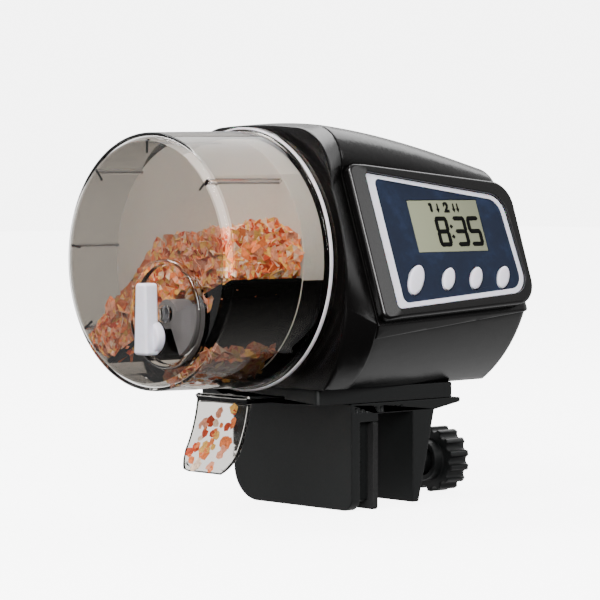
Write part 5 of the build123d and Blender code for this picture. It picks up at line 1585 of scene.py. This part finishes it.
class FEEDER_OT_clamp(bpy.types.Operator):
    """Bracket, fine teeth, rubber pads, threaded screw and fluted knob"""

    bl_idname = "feeder.clamp"
    bl_label = "Clamp"

    def execute(self, context):
        dress("clamp_bracket", finish_of("matt ABS"), "bracket", "matt_black", sizes().edge_round)
        dress("grip_pad", finish_of("nitrile rubber"), "bracket", "rubber", sizes().edge_round)
        dress("pressure_pad", finish_of("nitrile rubber"), "pressure_foot", "rubber", sizes().edge_round)
        dress("clamp_knob", finish_of("matt ABS"), "screw", "matt_black", KNOB_SHARE * sizes().edge_round)
        shank = cad_copy("clamp_screw", "clamp_screw_finish")
        axis_z = JOINTS["screw_turn"]["pos_m"][2]
        outer = SCREW_RADIUS * MM
        root = outer - THREAD_DEPTH * MM
        for vertex in shank.data.vertices:
            reach = hypot(vertex.co.y, vertex.co.z - axis_z)
            if reach > outer - THREAD_SEARCH * MM:
                vertex.co.y *= root / reach
                vertex.co.z = axis_z + (vertex.co.z - axis_z) * root / reach
        soften(shank, 0.0)
        low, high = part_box("clamp_screw")
        turns = int((high[0] - low[0] - THREAD_ENDS * MM) / sizes().thread_pitch)
        thread = thread_ridge(low[0] + THREAD_ENDS * MM / 2, axis_z, root, outer, turns)
        screw = join([shank, thread], "clamp_screw_finish")
        fit(screw, finish_of("matt ABS"), "screw", "matt_black", "clamp_screw")
        fit(jaw_teeth(), finish_of("matt ABS"), "bracket", "matt_black")
        return {"FINISHED"}


INSIDE = {
    "circuit_board": "solder mask",
    "control_chip": "moulded epoxy",
    "tact_switches": "moulded epoxy",
    "drive_gear": "natural nylon",
    "second_idler_gear": "natural nylon",
    "first_idler_gear": "natural nylon",
    "motor_pinion": "turned brass",
    "motor_shaft": "zinc-plated steel",
    "motor": "zinc-plated steel",
    "axle_pins": "zinc-plated steel",
    "plate_screws": "zinc-plated steel",
    "base_screws": "zinc-plated steel",
    "battery_contacts": "zinc-plated steel",
    "battery_cells": "cell wrap",
    "battery_tray": "matt ABS",
    "gear_plate": "grey acetal",
}


class FEEDER_OT_inside(bpy.types.Operator):
    """Finishes of the drive, the board and the cells inside the housing"""

    bl_idname = "feeder.inside"
    bl_label = "Inside"

    def execute(self, context):
        for node, finish in INSIDE.items():
            for holder in frame["nodes"][node].material_slots:
                holder.material = finish_of(finish)
        return {"FINISHED"}


# Camera and studio: angles, metres, pixels of the photo, millimetres of sensor, and watts
AZIMUTH = radians(-42.0)
ELEVATION = radians(2.4)
DISTANCE = 0.750
FOCAL_PIXELS = 3000.0
PHOTO_PIXELS = 600.0
SENSOR = 36.0
ANCHOR_PIXELS = (248.65, 259.4)
NEAR_CLIP = 0.01
FLOOR_SIZE = 6.0
PAPER_GREY = 0.7
LIT_SPOT = (-0.02, 0, 0.03)
SOFTBOXES = (
    ("top", (0.45, 0.25, 0.62), 0.7, 0.5, 4.0),
    ("panel", (0.36, -0.74, 0.45), 0.3, 0.3, 0.9),
    ("front", (-0.55, -0.22, 0.68), 0.3, 0.3, 9.0),
    ("left", (-0.56, -0.66, 0.36), 0.35, 0.45, 9.0),
    ("back", (-0.2, 0.45, 0.75), 0.3, 0.3, 5.0),
)
WHITE_SEEN = 6.0
WHITE_THROUGH = (0.4, 2.4)
SKY = ((0.0, 0.05), (0.55, 0.08), (0.75, 0.3), (1.0, 0.6))
SKY_BEHIND = 0.9
BACKDROP_WAY = (0.669, 0.743, -0.04)
BEHIND = (-0.1, 0.35)


def grey(level):
    """A grey of one linear level."""
    return (level, level, level, 1.0)


def studio_world():
    """White where it is looked at, bright behind clear plastic, and a dim sky as light on the object."""
    world = bpy.data.worlds.new("studio")
    world.use_nodes = True
    tree = world.node_tree
    place = put(tree, "ShaderNodeTexCoord")
    rays = put(tree, "ShaderNodeLightPath")
    mirrored = put(
        tree,
        "ShaderNodeMath",
        {0: rays.outputs["Is Glossy Ray"], 1: rays.outputs["Is Transmission Ray"]},
        operation="SUBTRACT",
        use_clamp=True,
    )
    bounced = put(
        tree,
        "ShaderNodeMath",
        {0: rays.outputs["Is Diffuse Ray"], 1: mirrored.outputs["Value"]},
        operation="MAXIMUM",
    )
    way = put(
        tree,
        "ShaderNodeVectorMath",
        {0: place.outputs["Generated"], 1: BACKDROP_WAY},
        operation="DOT_PRODUCT",
    )
    behind = put(
        tree,
        "ShaderNodeMapRange",
        {"Value": way.outputs["Value"], "From Min": BEHIND[0], "From Max": BEHIND[1]},
        interpolation_type="SMOOTHSTEP",
    )
    split = put(tree, "ShaderNodeSeparateXYZ", {"Vector": place.outputs["Generated"]})
    height = put(
        tree,
        "ShaderNodeMapRange",
        {"Value": split.outputs["Z"], "From Min": -1.0, "From Max": 1.0, "To Min": 0.0, "To Max": 1.0},
    )
    front_sky = put(
        tree,
        "ShaderNodeValToRGB",
        {"Fac": height.outputs["Result"]},
        stops=[(level, grey(value)) for level, value in SKY],
    )
    sky = put(
        tree,
        "ShaderNodeMixRGB",
        {"Fac": behind.outputs["Result"], "Color1": front_sky.outputs["Color"], "Color2": grey(SKY_BEHIND)},
    )
    through = put(
        tree,
        "ShaderNodeMixRGB",
        {
            "Fac": behind.outputs["Result"],
            "Color1": grey(WHITE_THROUGH[0]),
            "Color2": grey(WHITE_THROUGH[1]),
        },
    )
    unseen = put(
        tree,
        "ShaderNodeMixRGB",
        {
            "Fac": bounced.outputs["Value"],
            "Color1": through.outputs["Color"],
            "Color2": sky.outputs["Color"],
        },
    )
    seen = put(
        tree,
        "ShaderNodeMixRGB",
        {
            "Fac": rays.outputs["Is Camera Ray"],
            "Color1": unseen.outputs["Color"],
            "Color2": grey(WHITE_SEEN),
        },
    )
    tree.links.new(seen.outputs["Color"], tree.nodes["Background"].inputs["Color"])
    return world


class FEEDER_OT_studio(bpy.types.Operator):
    """Pale floor, soft lights and the camera"""

    bl_idname = "feeder.studio"
    bl_label = "Studio"

    def execute(self, context):
        scene = context.scene
        deselect()
        bpy.ops.mesh.primitive_plane_add(size=FLOOR_SIZE, location=(0, 0, CAD_BOX[0][2]))
        floor = added("studio_floor")
        paper = start(
            "pale paper",
            Base_Color=grey(PAPER_GREY),
            Roughness=0.9,
            Emission_Color=grey(1.0),
            Emission_Strength=WHITE_SEEN,
        )[0]
        floor.data.materials.append(paper)
        floor.visible_diffuse = False
        floor.visible_glossy = False
        floor.visible_transmission = False
        scene.world = studio_world()
        middle = Vector(LIT_SPOT)
        for name, spot, width, depth, power in SOFTBOXES:
            bpy.ops.object.light_add(type="AREA", location=spot)
            lamp = bpy.context.active_object
            lamp.name = f"softbox_{name}"
            lamp.data.shape = "RECTANGLE"
            lamp.data.size = width
            lamp.data.size_y = depth
            lamp.data.energy = power
            lamp.rotation_euler = (middle - Vector(spot)).to_track_quat("-Z", "Y").to_euler()
        back = Vector(
            (sin(AZIMUTH) * cos(ELEVATION), -cos(AZIMUTH) * cos(ELEVATION), sin(ELEVATION))
        )
        right = Vector((cos(AZIMUTH), sin(AZIMUTH), 0))
        up = back.cross(right)
        anchor = Vector((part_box("drum_shell")[1][0], 0, AXIS_Z))
        per_pixel = DISTANCE / FOCAL_PIXELS
        aside = (ANCHOR_PIXELS[0] - PHOTO_PIXELS / 2) * per_pixel
        above = (PHOTO_PIXELS / 2 - ANCHOR_PIXELS[1]) * per_pixel
        spot = anchor + back * DISTANCE - right * aside - up * above
        bpy.ops.object.camera_add(location=spot)
        camera = bpy.context.active_object
        camera.data.sensor_width = SENSOR
        camera.data.lens = FOCAL_PIXELS / PHOTO_PIXELS * SENSOR
        camera.data.clip_start = NEAR_CLIP
        camera.matrix_world = Matrix.Translation(spot) @ Matrix((right, up, back)).transposed().to_4x4()
        scene.camera = camera
        return {"FINISHED"}


class FEEDER_PT_sidebar(bpy.types.Panel):
    """List of the feeder's settings and steps"""

    bl_label = "Flake feeder"
    bl_space_type = "VIEW_3D"
    bl_region_type = "UI"
    bl_category = "Feeder"

    def draw(self, context):
        for group in (context.scene.feeder_sizes, context.scene.feeder_colours):
            for name in group.__annotations__:
                self.layout.prop(group, name)
        for step in STEPS:
            self.layout.operator(step.bl_idname)


STEPS = (
    FEEDER_OT_drum,
    FEEDER_OT_regulator,
    FEEDER_OT_food,
    FEEDER_OT_housing,
    FEEDER_OT_display,
    FEEDER_OT_panel,
    FEEDER_OT_chute,
    FEEDER_OT_clamp,
    FEEDER_OT_inside,
    FEEDER_OT_studio,
)
CLASSES = (FeederSizes, FeederColours, *STEPS, FEEDER_PT_sidebar)


def register():
    """Add the settings, steps and sidebar."""
    for item in CLASSES:
        bpy.utils.register_class(item)
    bpy.types.Scene.feeder_sizes = bpy.props.PointerProperty(type=FeederSizes)
    bpy.types.Scene.feeder_colours = bpy.props.PointerProperty(type=FeederColours)


def unregister():
    """Take the settings, steps and sidebar away."""
    del bpy.types.Scene.feeder_colours
    del bpy.types.Scene.feeder_sizes
    for item in reversed(CLASSES):
        bpy.utils.unregister_class(item)


def main():
    """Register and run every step."""
    register()
    for step in STEPS:
        group, name = step.bl_idname.split(".")
        getattr(getattr(bpy.ops, group), name)()


if __name__ == "__main__":
    main()
